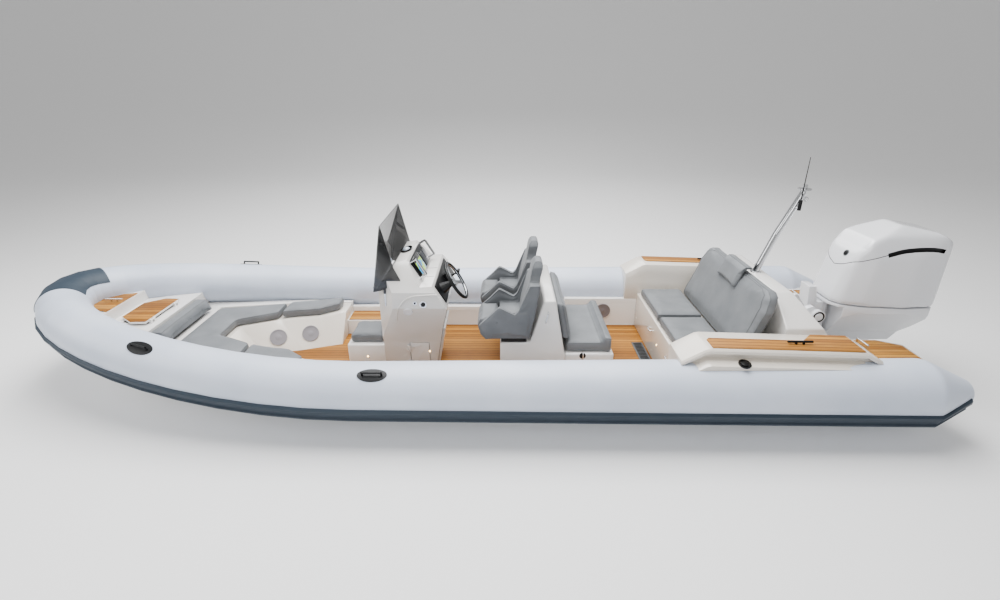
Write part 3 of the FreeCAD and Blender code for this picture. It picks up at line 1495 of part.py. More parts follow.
def arm_section(x, top, side):
    """Return an arm's outline across the boat at x: inner wall, top, rolled lip, recess and flange."""
    lip = size.arm_lip.value
    recess = size.arm_recess.value
    inner = size.arm_inner.value
    outer = size.arm_outer.value
    half = [
        (inner, size.arm_bottom.value), (inner, top - lip * 2.4), (inner + recess * 0.7, top),
        (outer - lip * 0.4, top), (outer, top - lip * 0.4), (outer, top - lip),
        (outer - recess, top - lip * 1.3), (outer - recess, top - lip * 2.2),
        (outer + recess * 0.5, top - lip * 2.6), (size.arm_flange.value, top - lip * 2.9),
        (size.arm_flange.value, top - lip * 4), (inner + recess * 3, size.arm_bottom.value),
    ]
    points = [FreeCAD.Vector(x, y * side, z) for y, z in half]
    return Part.makePolygon(points + points[:1])


arm_wholes = {}
for side_name, side in SIDES:
    arm_stations = [
        (size.arm_front_x.value, size.arm_step_height.value),
        (size.arm_crest_x.value + size.arm_lip.value, size.arm_height.value - size.teak_thickness.value * 2),
        (size.arm_crest_x.value, size.arm_height.value - size.teak_thickness.value),
        (size.arm_rear_x.value, size.arm_rear_height.value - size.teak_thickness.value),
        (size.arm_end_x.value, size.arm_step_height.value),
    ]
    wires = [arm_section(x, top, side) for x, top in arm_stations]
    arm_wholes[side] = feature("arm_whole_" + side_name, Part.makeLoft(wires, True, True))
    node("arm_" + side_name, cut("arm_" + side_name, arm_wholes[side], tube_room))
    band = prism("cap_band_" + side_name, "XZ", [
        (size.arm_crest_x, size.arm_height - size.teak_thickness),
        (size.arm_crest_x, size.arm_height),
        (size.arm_rear_x, size.arm_rear_height),
        (size.arm_rear_x, size.arm_rear_height - size.teak_thickness),
    ], -size.arm_flange, size.arm_flange)
    plan = [
        (size.arm_crest_x - size.teak_margin, size.cap_inner + size.teak_margin * 2),
        (size.arm_crest_x - size.teak_margin * 3, size.cap_inner),
        (size.cap_widen_x, size.cap_inner),
        (size.cap_wide_x, size.cap_wide_inner),
        (size.arm_rear_x + size.teak_margin, size.cap_wide_inner),
        (size.arm_rear_x + size.teak_margin, size.cap_outer),
        (size.arm_crest_x - size.teak_margin, size.cap_outer),
    ]
    cap = prism("cap_plan_" + side_name, "XY", [(x, y * side) for x, y in plan],
                size.arm_step_height, side_top)
    teak_boards.append(common("cap_" + side_name, band, cap))


# Stern moulding with the mast

stern_side = prism("stern_side", "XZ", [
    (size.arch_front_x, size.coaming_aft_height),
    (size.arch_front_x, size.arch_height),
    (size.arch_rear_x, size.arch_height),
    (size.transom_lip_x, size.transom_top),
    (size.transom_x, size.transom_top),
    (size.transom_x, size.coaming_aft_height),
], -size.arm_inner, size.arm_inner)
half = [
    (size.arm_inner, size.coaming_aft_height),
    (size.arm_inner, size.arm_height),
    (size.arch_half_width, size.arch_height),
]
stern_front = prism("stern_front", "YZ", half + [(-y, z) for y, z in reversed(half)],
                    size.transom_x * 1.1, size.arch_front_x + 1)
stern_block = common("stern_moulding", stern_side, stern_front)
node("stern_moulding", stern_block)


def arch_slope_height(x):
    """Return the height of the stern moulding's rear slope at x."""
    share = (size.arch_rear_x.value - x) / (size.arch_rear_x.value - size.transom_lip_x.value)
    return size.arch_height.value * (1 - share) + size.transom_top.value * share


def tube_handle(station):
    """Return a carrying handle: an oval base on top of the tube and a bar over it."""
    centre, tangent, outward, upward, radius = station
    lean = math.radians(size.tube_handle_lean.value)
    out = outward * math.cos(lean) + upward * math.sin(lean)
    at = centre + out * radius
    base = Part.makeCylinder(radius + size.tube_pad.value, size.tube_pad_width.value,
                             FreeCAD.Vector(0, 0, -size.tube_pad_width.value / 2))
    base = base.cut(Part.makeCylinder(radius + size.tube_fit.value, size.tube_pad_width.value,
                                      FreeCAD.Vector(0, 0, -size.tube_pad_width.value / 2)))
    base = turned_to(base, centre, tangent)
    oval = Part.Ellipse(FreeCAD.Vector(0, 0, 0), size.tube_pad_width.value / 2, size.tube_pad_half.value)
    face = Part.Face(Part.Wire([oval.toShape()]))
    column = face.extrude(UP * radius * 2)
    column.Placement = FreeCAD.Placement(centre, FreeCAD.Rotation(tangent, out.cross(tangent), out, "XYZ"))
    pad = base.common(column)
    reach = size.tube_pad_width.value * 0.32
    bar = handle(at - tangent * reach, at + tangent * reach, 34, size.handle_radius.value * 0.7, out)
    inside = Part.makeCylinder(radius + size.tube_fit.value, 600, FreeCAD.Vector(0, 0, -300))
    return pad.fuse(bar.cut(turned_to(inside,
                                      centre, tangent)))


mast_line = [
    vector(size.mast_foot_x + size.mast_radius, 0, size.arch_height - size.mast_radius * 3),
    vector(size.mast_bend_x, 0, size.mast_bend_height),
    vector(size.mast_top_x, 0, size.mast_top_height),
]
mast_tube = feature("mast_tube", rod_along(mast_line, size.mast_radius.value))
node("mast", cut("mast", mast_tube, stern_block))
mast_head = mast_line[2]
foot_flange = Part.makeCylinder(size.mast_radius.value * 1.5, 8,
                                vector(size.mast_foot_x, 0, size.arch_height + size.tube_fit))
mast_bore = rod_along(mast_line, size.mast_radius.value + 0.2)
head_plate = Part.makeCylinder(size.mast_radius.value * 1.9, 10, mast_head + UP * 22)
head_post = Part.makeCylinder(size.mast_radius.value * 0.6, 60, mast_head - UP * 30)
lamp = Part.makeCylinder(size.mast_radius.value * 0.7, 34, mast_head + UP * 32)
whip_foot = mast_line[1] * 0.35 + mast_head * 0.65
whip_foot = whip_foot + TO_PORT * (size.mast_radius.value - 4)
bracket = Part.makeCylinder(9, 70, whip_foot, TO_PORT)
socket = Part.makeCylinder(16, 90, whip_foot + TO_PORT * 60 - UP * 10, UP)
whip_length = size.whip_height.value - whip_foot.z - 70
whip = Part.makeCone(size.whip_radius.value, size.whip_radius.value * 0.5, whip_length,
                     whip_foot + TO_PORT * 60 + UP * 70, UP)
mast_rings = []
for number in (0, 1):
    ring_at = mast_head * 0.84 + mast_line[1] * 0.16 - FORWARD * (size.mast_radius.value + 20)
    ring_at = ring_at + TO_PORT * (number * 36 - 18)
    loop = Part.makeTorus(18, 5)
    mast_rings.append(turned_to(loop, ring_at, TO_PORT))
fittings = head_plate.multiFuse([head_post, lamp, bracket, socket, whip] + mast_rings).cut(mast_bore)
flange = foot_flange.cut(mast_bore)
node("mast_fittings", feature("mast_fittings", Part.makeCompound(fittings.Solids + flange.Solids)))


# Stern platforms beside the motor

def platform_plan(side, margin, rear, front, outer):
    """Return a platform's corners seen from above, its inner rear corner cut off to let the motor steer."""
    inner = size.platform_inner + margin
    half = [
        (front, inner),
        (size.platform_corner_x + margin * 0.25, inner),
        (rear, inner + size.platform_corner),
        (rear, outer),
        (front, outer),
    ]
    return [(x, y * side) for x, y in half]


for side_name, side in SIDES:
    top = size.platform_height - size.teak_thickness
    deck = prism("platform_blank_" + side_name, "XY",
                 platform_plan(side, 0, size.platform_rear_x, size.transom_x, size.arm_outer),
                 top - size.platform_thickness, top)
    node("platform_" + side_name, cut("platform_" + side_name, deck, arm_wholes[side], tube_room))
    pad = prism("platform_teak_blank_" + side_name, "XY",
                platform_plan(side, size.teak_margin * 2, size.platform_rear_x + size.teak_margin * 2,
                              size.arm_end_x - size.teak_margin, size.arm_inner), top, size.platform_height)
    teak_boards.append(cut("platform_teak_" + side_name, pad, tube_room))
teak_trim = fuse("teak_trim", *teak_boards)
node("teak_trim", teak_trim)


# Outboard motor

plates = []
for side_name, side in SIDES:
    low, high = sorted([size.clamp_inner * side, size.clamp_half_width * side], key=lambda edge: edge.value)
    plates.append(prism("clamp_plate_" + side_name, "XZ", [
        (size.transom_x, size.clamp_bottom),
        (size.transom_x, size.clamp_top - 20),
        (size.transom_x - 60, size.clamp_top),
        (size.clamp_rear_x, size.clamp_top - 90),
        (size.clamp_rear_x + 20, size.tilt_height - 60),
        (size.transom_x - 70, size.clamp_bottom),
    ], low, high))
clamp_web = block("clamp_web", size.transom_x - 25, size.transom_x,
                  -size.clamp_half_width, size.clamp_half_width,
                  size.clamp_bottom, size.transom_top)
tilt_tube = cylinder("tilt_tube", (size.tilt_x, -size.clamp_half_width - 30, size.tilt_height), TO_PORT,
                     size.tilt_tube_radius, size.clamp_half_width * 2 + 60)
node("motor_clamp", fuse("motor_clamp", tilt_tube, clamp_web, *plates))

swivel_block = prism("swivel_block", "XZ", [
    (size.swivel_x + 25, size.swivel_bottom),
    (size.tilt_x - 45, size.swivel_bottom),
    (size.tilt_x + 30, size.tilt_height - 60),
    (size.tilt_x + 45, size.tilt_height + 40),
    (size.tilt_x + 66, size.swivel_head),
    (size.tilt_x - 4, size.swivel_head),
    (size.tilt_x - 40, size.swivel_top),
    (size.swivel_x + 25, size.swivel_top),
], -size.swivel_head_half_width, size.swivel_head_half_width)
swivel_barrel = cylinder("swivel_barrel", (size.swivel_x, 0, size.swivel_bottom), UP, size.swivel_radius,
                         size.swivel_top - size.swivel_bottom)
tilt_bore = cylinder("tilt_bore", (size.tilt_x, -size.arm_outer, size.tilt_height), TO_PORT,
                     size.tilt_tube_radius + size.running_gap, size.arm_outer * 2)
kingpin_bore = cylinder("kingpin_bore", (size.swivel_x, 0, 0), UP, size.kingpin_radius + size.running_gap,
                        size.cowl_top)
swivel_whole = fuse("swivel_whole", swivel_block, swivel_barrel)
node("swivel_bracket", cut("swivel_bracket", swivel_whole, tilt_bore, kingpin_bore))


def cowl_floor(x):
    """Return the height at x of the seam between the cowl and the leg."""
    share = (size.cowl_front_x - x) / (size.cowl_front_x - size.cowl_rear_x)
    return size.cowl_bottom - size.cowl_drop * share


def cowl_side(inset):
    """Return the engine cover's outline from the side, smaller by inset."""
    return [
        (size.cowl_front_x - 16 - inset, cowl_floor(size.cowl_front_x - 16 - inset)),
        (size.cowl_front_x - 28 - inset, size.cowl_top * 0.75),
        (size.cowl_front_x - 62 - inset, size.cowl_top * 0.83 - inset * 0.3),
        (size.cowl_front_x - 170 - inset * 0.5, size.cowl_top * 0.918 - inset),
        (size.leg_rear_x - 30, size.cowl_top - inset),
        (size.cowl_rear_x + 175, size.cowl_top * 0.957 - inset),
        (size.cowl_rear_x + inset, size.cowl_top * 0.89 - inset),
        (size.cowl_rear_x + inset, cowl_floor(size.cowl_rear_x + inset)),
    ]


def cowl_front(inset):
    """Return the engine cover's outline from the front, smaller by inset."""
    half = [
        (size.cowl_half_width - inset, size.cowl_bottom - 60),
        (size.cowl_half_width - inset, size.cowl_top * 0.8),
        (size.cowl_half_width * 0.8 - inset, size.cowl_top * 0.94 - inset * 0.5),
        (size.cowl_half_width * 0.45 - inset, size.cowl_top - inset),
    ]
    return half + [(-y, z) for y, z in reversed(half)]


def cowl_plan(inset):
    """Return the engine cover's outline from above, smaller by inset."""
    half = [
        (size.cowl_front_x - 16 - inset, size.cowl_half_width * 0.5 - inset),
        (size.cowl_front_x - 80 - inset, size.cowl_half_width * 0.82 - inset),
        (size.cowl_front_x - 260, size.cowl_half_width - inset),
        (size.cowl_rear_x + 380, size.cowl_half_width - inset),
        (size.cowl_rear_x + 70 + inset, size.cowl_half_width * 0.78 - inset),
        (size.cowl_rear_x + inset, size.cowl_half_width * 0.5 - inset),
    ]
    return half + [(x, -y) for x, y in reversed(half)]


def cowl_form(name, inset):
    """Return the engine cover's solid form, smaller by inset."""
    side_form = prism(name + "_side", "XZ", cowl_side(inset), -size.arm_outer, size.arm_outer)
    front_form = prism(name + "_front", "YZ", cowl_front(inset), size.cowl_rear_x * 1.1, size.cowl_front_x)
    plan_form = prism(name + "_plan", "XY", cowl_plan(inset), size.swivel_bottom, size.cowl_top * 1.1)
    return common(name, common(name + "_profile", side_form, front_form), plan_form)


leg_front = size.swivel_x - size.swivel_radius - size.leg_gap
leg_side = prism("leg_side", "XZ", [
    (size.cowl_front_x - 18, size.cowl_bottom + 60),
    (size.cowl_front_x - 18, size.swivel_top + size.leg_gap),
    (leg_front, size.swivel_top + size.leg_gap),
    (leg_front, size.swivel_bottom - size.leg_gap),
    (size.swivel_x + 55, size.swivel_bottom - size.leg_gap),
    (size.swivel_x + 55, size.swivel_bottom - 90),
    (leg_front, size.swivel_bottom - 110),
    (size.leg_front_x - 40, size.plate_height),
    (size.leg_front_x - 20, size.gearcase_height),
    (size.leg_front_x - 80, size.gearcase_height),
    (size.leg_rear_x + 60, size.skeg_bottom),
    (size.leg_rear_x, size.gearcase_height),
    (size.leg_rear_x, size.plate_height),
    (size.leg_rear_x - 90, size.swivel_bottom + 60),
    (size.leg_rear_x - 270, size.swivel_bottom + 60),
    (size.leg_rear_x - 405, size.transom_top - 60),
    (size.leg_rear_x - 495, size.transom_top + 133),
    (size.cowl_rear_x + 10, size.cowl_bottom + 100),
    (size.cowl_rear_x + 60, size.swivel_top + 12),
], -size.cowl_half_width, size.cowl_half_width)
half = [
    (size.skeg_half_width, size.skeg_bottom),
    (size.skeg_half_width, size.gearcase_height),
    (size.leg_half_width * 0.6, size.plate_height),
    (size.leg_half_width, size.swivel_bottom - 100),
    (size.leg_half_width, size.swivel_bottom + 150),
    (size.cowl_half_width - 10, size.swivel_top - 40),
    (size.cowl_half_width - 10, size.cowl_bottom + 200),
]
leg_front_form = prism("leg_front_form", "YZ", half + [(-wrap(y), z) for y, z in reversed(half)],
                       size.cowl_rear_x * 1.1, size.swivel_x * 0.9)
cowl_line = prism("cowl_line", "XZ", [
    (size.cowl_front_x + 100, size.cowl_bottom),
    (size.cowl_front_x, size.cowl_bottom),
    (size.cowl_rear_x, size.cowl_bottom - size.cowl_drop),
    (size.cowl_rear_x - 100, size.cowl_bottom - size.cowl_drop),
    (size.cowl_rear_x - 100, size.cowl_top * 1.2),
    (size.cowl_front_x + 100, size.cowl_top * 1.2),
], -size.cowl_half_width * 2, size.cowl_half_width * 2)
plate = block("anti_ventilation_plate", size.leg_rear_x - 180, size.leg_front_x - 60, -140, 140,
              size.plate_height - 5, size.plate_height + 5)
gearcase = cylinder("gearcase", (size.gearcase_rear_x, 0, size.gearcase_height), FORWARD,
                    size.gearcase_radius,
                    size.gearcase_front_x - size.gearcase_rear_x - 90)
leg_plan = prism("leg_plan", "XY", cowl_plan(size.cowl_wall * 0.5) , size.skeg_bottom, size.cowl_top)
leg_head = common("leg_head", common("leg_form", leg_side, leg_front_form), leg_plan)
leg_blank = cut("leg_blank", leg_head, cowl_line)
kingpin = cylinder("kingpin", (size.swivel_x, 0, size.swivel_bottom - size.leg_gap - 10), UP,
                   size.kingpin_radius,
                   size.swivel_top - size.swivel_bottom + size.leg_gap * 2 + 20)
shaft_bore = cylinder("shaft_bore", (size.gearcase_rear_x - 10, 0, size.gearcase_height), FORWARD,
                      size.propeller_shaft_radius + size.running_gap, 70)
leg_whole = fuse("leg_whole", leg_blank, plate, gearcase, kingpin)
node("motor_leg", cut("motor_leg", leg_whole, shaft_bore))


cowl_outer = cowl_form("cowl_outer", 0)
cowl_inner = cowl_form("cowl_inner", size.cowl_wall)
node("motor_cowl", cut("motor_cowl", cowl_outer, cowl_inner))
engine_rear_x = size.cowl_rear_x + 160
engine_front_x = size.cowl_front_x - 150
node("engine_block", prism("engine_block", "XZ", [
    (engine_rear_x, cowl_floor(engine_rear_x)),
    (engine_front_x, cowl_floor(engine_front_x)),
    (engine_front_x, size.cowl_top * 0.82),
    (engine_rear_x, size.cowl_top * 0.82),
], -size.cowl_half_width * 0.7, size.cowl_half_width * 0.7))

shaft_rear = size.gearcase_rear_x.value - size.propeller_gap.value
hub = Part.makeCylinder(size.propeller_hub_radius.value, size.propeller_length.value,
                        FreeCAD.Vector(shaft_rear, 0, size.gearcase_height.value), FORWARD.negative())
shaft = Part.makeCylinder(size.propeller_shaft_radius.value, 40,
                          FreeCAD.Vector(shaft_rear - 1, 0, size.gearcase_height.value), FORWARD)
blades = [shaft]
for turn in (0, 120, 240):
    root_radius = size.propeller_hub_radius.value * 0.8
    tip_radius = size.propeller_radius.value
    wires = []
    for radius, lean, chord in ((root_radius, 55, 90), (tip_radius * 0.6, 35, 130), (tip_radius, 22, 70)):
        way = FreeCAD.Vector(math.cos(math.radians(lean)), math.sin(math.radians(lean)), 0)
        face_way = FreeCAD.Vector(-way.y, way.x, 0)
        middle = FreeCAD.Vector(0, 0, radius)
        corners = [middle - way * chord / 2, middle + face_way * 4,
                   middle + way * chord / 2, middle - face_way * 4]
        wires.append(Part.makePolygon(corners + corners[:1]))
    blade = Part.makeLoft(wires, True, True)
    blade_x = shaft_rear - size.propeller_length.value / 2
    blade.translate(FreeCAD.Vector(blade_x, 0, size.gearcase_height.value))
    blade.rotate(FreeCAD.Vector(0, 0, size.gearcase_height.value), FORWARD, turn)
    blades.append(blade)
node("propeller", feature("propeller", hub.multiFuse(blades)))


# Handles and cleats

fittings = []
for side in (1, -1):
    cap_fall = size.arm_height.value - size.arm_rear_height.value
    cap_fall = cap_fall / (size.arm_crest_x.value - size.arm_rear_x.value)
    cleat_z = size.arm_height.value - cap_fall * (size.arm_crest_x.value - size.cleat_x.value)
    cleat_foot = vector(size.cleat_x, size.cleat_y * side, cleat_z)
    for reach in (-1, 1):
        at = cleat_foot + FORWARD * (size.cleat_post_reach.value * reach)
        fittings.append(Part.makeCylinder(size.cleat_radius.value, size.cleat_height.value, at))
    end = cleat_foot - FORWARD * (size.cleat_length.value / 2) + UP * size.cleat_height.value
    fittings.append(Part.makeCylinder(size.cleat_radius.value, size.cleat_length.value, end, FORWARD))
    foot = vector(size.stern_handle_x, size.stern_handle_y * side, size.platform_height)
    other = foot + TO_PORT * size.stern_handle_length.value * side
    fittings.append(handle(foot, other, size.stern_handle_rise.value, size.handle_radius.value * 0.8, UP))
    foot = vector(size.arch_handle_x, size.arch_handle_y * side,
                  arch_slope_height(size.arch_handle_x.value))
    other = foot - FORWARD * size.arch_handle_length.value
    other.z = arch_slope_height(other.x)
    fittings.append(handle(foot - UP * 2, other - UP * 2, size.arch_handle_rise.value,
                           size.handle_radius.value * 0.8, UP))
bow_foot = vector(size.bow_step_x + 80, 0, size.bow_step_height + size.teak_thickness)
bow_posts = [
    Part.makeCylinder(size.cleat_radius.value, size.bow_cleat_height.value, bow_foot + FORWARD * reach)
    for reach in (40, -20)
]
fittings.append(bow_posts[0].fuse(bow_posts[1]))
bow_end = bow_foot + UP * size.bow_cleat_height.value - FORWARD * 70
fittings.append(Part.makeCylinder(size.cleat_radius.value, size.bow_cleat_length.value, bow_end, FORWARD))
joined = fittings[0].multiFuse(fittings[1:])
fittings_blank = feature("fittings_blank", joined)
node("deck_fittings", cut("deck_fittings", fittings_blank, teak_trim, stern_block))

pads = []
for side in (1, -1):
    for x in (size.tube_handle_x.value, size.tube_handle_bow_x.value):
        if x < size.bend_x.value:
            station = side_station(x, side)
        else:
            share = (x - size.bend_x.value) / (size.bow_axis_x.value - size.bend_x.value)
            turn = math.degrees(math.asin(share))
            station = bow_station(turn if side > 0 else 180 - turn)
        pads.append(tube_handle(station))
handles_blank = feature("handles_blank", Part.makeCompound(pads))
node("tube_handles", cut("tube_handles", handles_blank, tube_room))

doc.recompute()
os.makedirs("parts", exist_ok=True)
for thing in doc.Objects:
    if "Invalid" in thing.State or "Error" in thing.State:
        raise RuntimeError("%s did not compute: %s" % (thing.Label, thing.State))
for thing in nodes:
    if thing.Shape.isNull() or not thing.Shape.isValid():
        raise RuntimeError("%s has no valid shape" % thing.Label)
    thing.Shape.exportStep("parts/%s.step" % thing.Label)
    print(thing.Label, round(thing.Shape.Volume), len(thing.Shape.Solids))
print("sub-parts:", len(nodes))
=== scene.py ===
"""Dresses the rigid inflatable boat: finishes, soft pieces, fine fittings and the studio around it."""

from __future__ import annotations

import json
import logging
import math
from collections.abc import Callable
from dataclasses import dataclass, field
from enum import Enum

import bpy
from mathutils import Matrix, Vector
from mathutils.bvhtree import BVHTree

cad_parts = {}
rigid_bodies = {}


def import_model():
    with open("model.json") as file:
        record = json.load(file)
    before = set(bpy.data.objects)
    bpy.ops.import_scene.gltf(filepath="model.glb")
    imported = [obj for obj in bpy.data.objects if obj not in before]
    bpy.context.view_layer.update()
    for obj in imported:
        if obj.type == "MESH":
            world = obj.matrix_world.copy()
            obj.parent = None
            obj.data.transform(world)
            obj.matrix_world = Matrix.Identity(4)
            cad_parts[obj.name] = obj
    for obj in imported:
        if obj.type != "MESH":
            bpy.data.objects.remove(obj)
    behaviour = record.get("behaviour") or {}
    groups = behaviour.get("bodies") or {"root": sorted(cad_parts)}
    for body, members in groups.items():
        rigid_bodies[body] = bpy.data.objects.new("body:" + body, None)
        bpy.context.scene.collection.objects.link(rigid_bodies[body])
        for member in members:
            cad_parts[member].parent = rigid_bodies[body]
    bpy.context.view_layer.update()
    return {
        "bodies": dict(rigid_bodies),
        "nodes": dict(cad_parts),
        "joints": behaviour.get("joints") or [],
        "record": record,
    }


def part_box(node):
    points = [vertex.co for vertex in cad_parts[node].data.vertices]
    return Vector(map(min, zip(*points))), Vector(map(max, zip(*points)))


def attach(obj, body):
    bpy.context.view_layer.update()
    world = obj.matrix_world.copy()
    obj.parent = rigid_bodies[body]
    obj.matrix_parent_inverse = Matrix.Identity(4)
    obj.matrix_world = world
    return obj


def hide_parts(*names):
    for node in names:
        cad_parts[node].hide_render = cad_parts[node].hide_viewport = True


LOG = logging.getLogger("boat")
LINE_PACE = 0.015
LINE_LEAST_STEP = 0.003
FRAME: dict[str, dict] = {}
SKINS: dict[str, BVHTree] = {}
MATERIALS: dict[str, bpy.types.Material] = {}


def linear(code: str) -> tuple[float, float, float, float]:
    """Turn an sRGB hex code into Blender's linear colour.

    Args:
        code: Six hex digits, with or without a leading hash.

    Returns:
        Red, green, blue and alpha in linear light.
    """
    digits = code.lstrip("#")
    channels = [int(digits[start:start + 2], 16) / 255.0 for start in (0, 2, 4)]
    curved = [c / 12.92 if c <= 0.04045 else ((c + 0.055) / 1.055) ** 2.4 for c in channels]
    return curved[0], curved[1], curved[2], 1.0


# Materials

class Recipe:
    """Adds nodes to one material and joins them."""

    def __init__(self, name: str) -> None:
        """Start an empty material with a Principled shader.

        Args:
            name: The material's name.
        """
        self.material = bpy.data.materials.new(name)
        self.material.use_nodes = True
        self.shader = self.material.node_tree.nodes["Principled BSDF"]
        self.place: bpy.types.NodeSocket | None = None

    def add(self, kind: str, values: dict | None = None, **settings: object) -> bpy.types.ShaderNode:
        """Add a shader node.

        Args:
            kind: Blender's name of the node type, without its prefix.
            values: Socket values by name or number.
            settings: Node settings by name.

        Returns:
            The new node.
        """
        node = self.material.node_tree.nodes.new("ShaderNode" + kind)
        for name, value in settings.items():
            setattr(node, name, value)
        for name, value in (values or {}).items():
            node.inputs[name].default_value = value
        return node

    def join(self, start: bpy.types.NodeSocket, end: bpy.types.NodeSocket) -> None:
        """Link an output to an input."""
        self.material.node_tree.links.new(start, end)

    def position(self) -> bpy.types.NodeSocket:
        """Return the place on the object in metres."""
        if self.place is None:
            self.place = self.add("TexCoord").outputs["Object"]
        return self.place

    def set(self, **values: object) -> None:
        """Set uniform values on the shader's own sockets, by name with underscores for spaces."""
        for name, value in values.items():
            self.shader.inputs[name.replace("_", " ")].default_value = value

    def noise(self, scale: float, detail: float = 4.0,
              stretch: tuple[float, float, float] = (1, 1, 1)) -> bpy.types.NodeSocket:
        """Add a noise pattern over the object.

        Args:
            scale: How many features it has to the metre.
            detail: How many finer layers it has.
            stretch: How much closer the features lie along each axis.

        Returns:
            The pattern's value, from nought to one.
        """
        spread = self.add("Mapping")
        spread.inputs["Scale"].default_value = stretch
        self.join(self.position(), spread.inputs["Vector"])
        pattern = self.add("TexNoise", {"Scale": scale, "Detail": detail})
        self.join(spread.outputs["Vector"], pattern.inputs["Vector"])
        return pattern.outputs["Fac"]

    def ramp(self, value: bpy.types.NodeSocket, *stops: tuple[float, str]) -> bpy.types.NodeSocket:
        """Turn a value into a colour.

        Args:
            value: The value to read.
            stops: Where each colour stands and its hex code.

        Returns:
            The colour that runs through the stops as the value grows.
        """
        node = self.add("ValToRGB")
        band = node.color_ramp
        while len(band.elements) < len(stops):
            band.elements.new(0.5)
        for element, (place, code) in zip(band.elements, stops):
            element.position = place
            element.color = linear(code)
        self.join(value, node.inputs["Fac"])
        return node.outputs["Color"]

    def bump(self, height: bpy.types.NodeSocket, distance: float, strength: float = 1.0) -> None:
        """Raise the surface by a pattern.

        Args:
            height: The pattern.
            distance: How high it rises, in metres.
            strength: How much of it shows.
        """
        node = self.add("Bump", {"Strength": strength, "Distance": distance})
        self.join(height, node.inputs["Height"])
        self.join(node.outputs["Normal"], self.shader.inputs["Normal"])

    def vary(self, socket: str, value: bpy.types.NodeSocket, low: float, high: float) -> None:
        """Let a shader socket follow a value.

        Args:
            socket: The socket's name.
            value: The value it follows.
            low: What it is at nought.
            high: What it is at one.
        """
        node = self.add("MapRange", {"To Min": low, "To Max": high})
        self.join(value, node.inputs["Value"])
        self.join(node.outputs["Result"], self.shader.inputs[socket])


class Surface:
    """What a piece is made of. Subclasses say how the material is mixed."""

    name = "surface"

    def mix(self, recipe: Recipe) -> None:
        """Fill in the material."""

    def build(self) -> bpy.types.Material:
        """Make the material, or return the one already made."""
        if self.name not in MATERIALS:
            recipe = Recipe(self.name)
            self.mix(recipe)
            MATERIALS[self.name] = recipe.material
        return MATERIALS[self.name]

    def paint(self, piece: bpy.types.Object) -> bpy.types.Object:
        """Give a piece this surface all over.

        Args:
            piece: The piece to finish.

        Returns:
            The same piece.
        """
        piece.data.materials.clear()
        piece.data.materials.append(self.build())
        return piece


@dataclass(frozen=True)
class Gelcoat(Surface):
    """Polyester gelcoat sprayed in a polished mould: glossy, a touch uneven from its long reflections."""

    name: str = "white_gelcoat"
    colour: str = "#E9E7E4"
    roughness: float = 0.2
    coat: float = 0.7

    def mix(self, recipe: Recipe) -> None:
        """Mix a gloss with faint cloudiness and a ripple too shallow to see but in reflections.

        Args:
            recipe: The material to fill in.
        """
        cloud = recipe.noise(2.2, 3.0)
        darker = recipe.add("Mix", {0: 0.05}, data_type="RGBA", blend_type="MULTIPLY")
        darker.inputs[6].default_value = linear(self.colour)
        recipe.join(recipe.ramp(cloud, (0.3, "#C9C6C2"), (0.7, "#FFFFFF")), darker.inputs[7])
        recipe.join(darker.outputs[2], recipe.shader.inputs["Base Color"])
        recipe.vary("Roughness", recipe.noise(9.0, 2.0), self.roughness - 0.04, self.roughness + 0.06)
        recipe.bump(recipe.noise(14.0, 1.0), 0.0006, 0.25)
        recipe.set(Coat_Weight=self.coat, Coat_Roughness=0.06, Specular_IOR_Level=0.5)


@dataclass(frozen=True)
class TubeFabric(Surface):
    """Coated tube fabric, welded: smooth with a fine cast texture and slight colour change."""

    name: str = "tube_fabric"
    colour: str = "#D3DAE6"
    shade: str = "#C6CEDC"
    roughness: float = 0.4

    def mix(self, recipe: Recipe) -> None:
        """Mix a satin with a grain of about 1.5 mm, coarser than the real cloth so that it shows.

        Args:
            recipe: The material to fill in.
        """
        recipe.join(recipe.ramp(recipe.noise(1.6, 3.0), (0.3, self.shade), (0.7, self.colour)),
                    recipe.shader.inputs["Base Color"])
        recipe.vary("Roughness", recipe.noise(6.0, 3.0), self.roughness - 0.05, self.roughness + 0.08)
        recipe.bump(recipe.noise(650.0, 2.0), 0.0004, 0.3)
        recipe.set(Coat_Weight=0.12, Coat_Roughness=0.35, Sheen_Weight=0.1)


@dataclass(frozen=True)
class Rubber(Surface):
    """Moulded rubber or plastic, satin, with a fine tooth."""

    name: str = "strake_rubber"
    colour: str = "#333F4B"
    roughness: float = 0.5
    grain: float = 420.0

    def mix(self, recipe: Recipe) -> None:
        """Mix a dull surface with faint dust in its colour.

        Args:
            recipe: The material to fill in.
        """
        dust = recipe.noise(7.0, 4.0)
        faded = recipe.add("Mix", {0: 0.04}, data_type="RGBA", blend_type="SCREEN")
        faded.inputs[6].default_value = linear(self.colour)
        recipe.join(recipe.ramp(dust, (0.4, "#000000"), (0.8, "#8C8C8C")), faded.inputs[7])
        recipe.join(faded.outputs[2], recipe.shader.inputs["Base Color"])
        recipe.vary("Roughness", dust, self.roughness - 0.06, self.roughness + 0.1)
        recipe.bump(recipe.noise(self.grain, 2.0), 0.0003, 0.3)


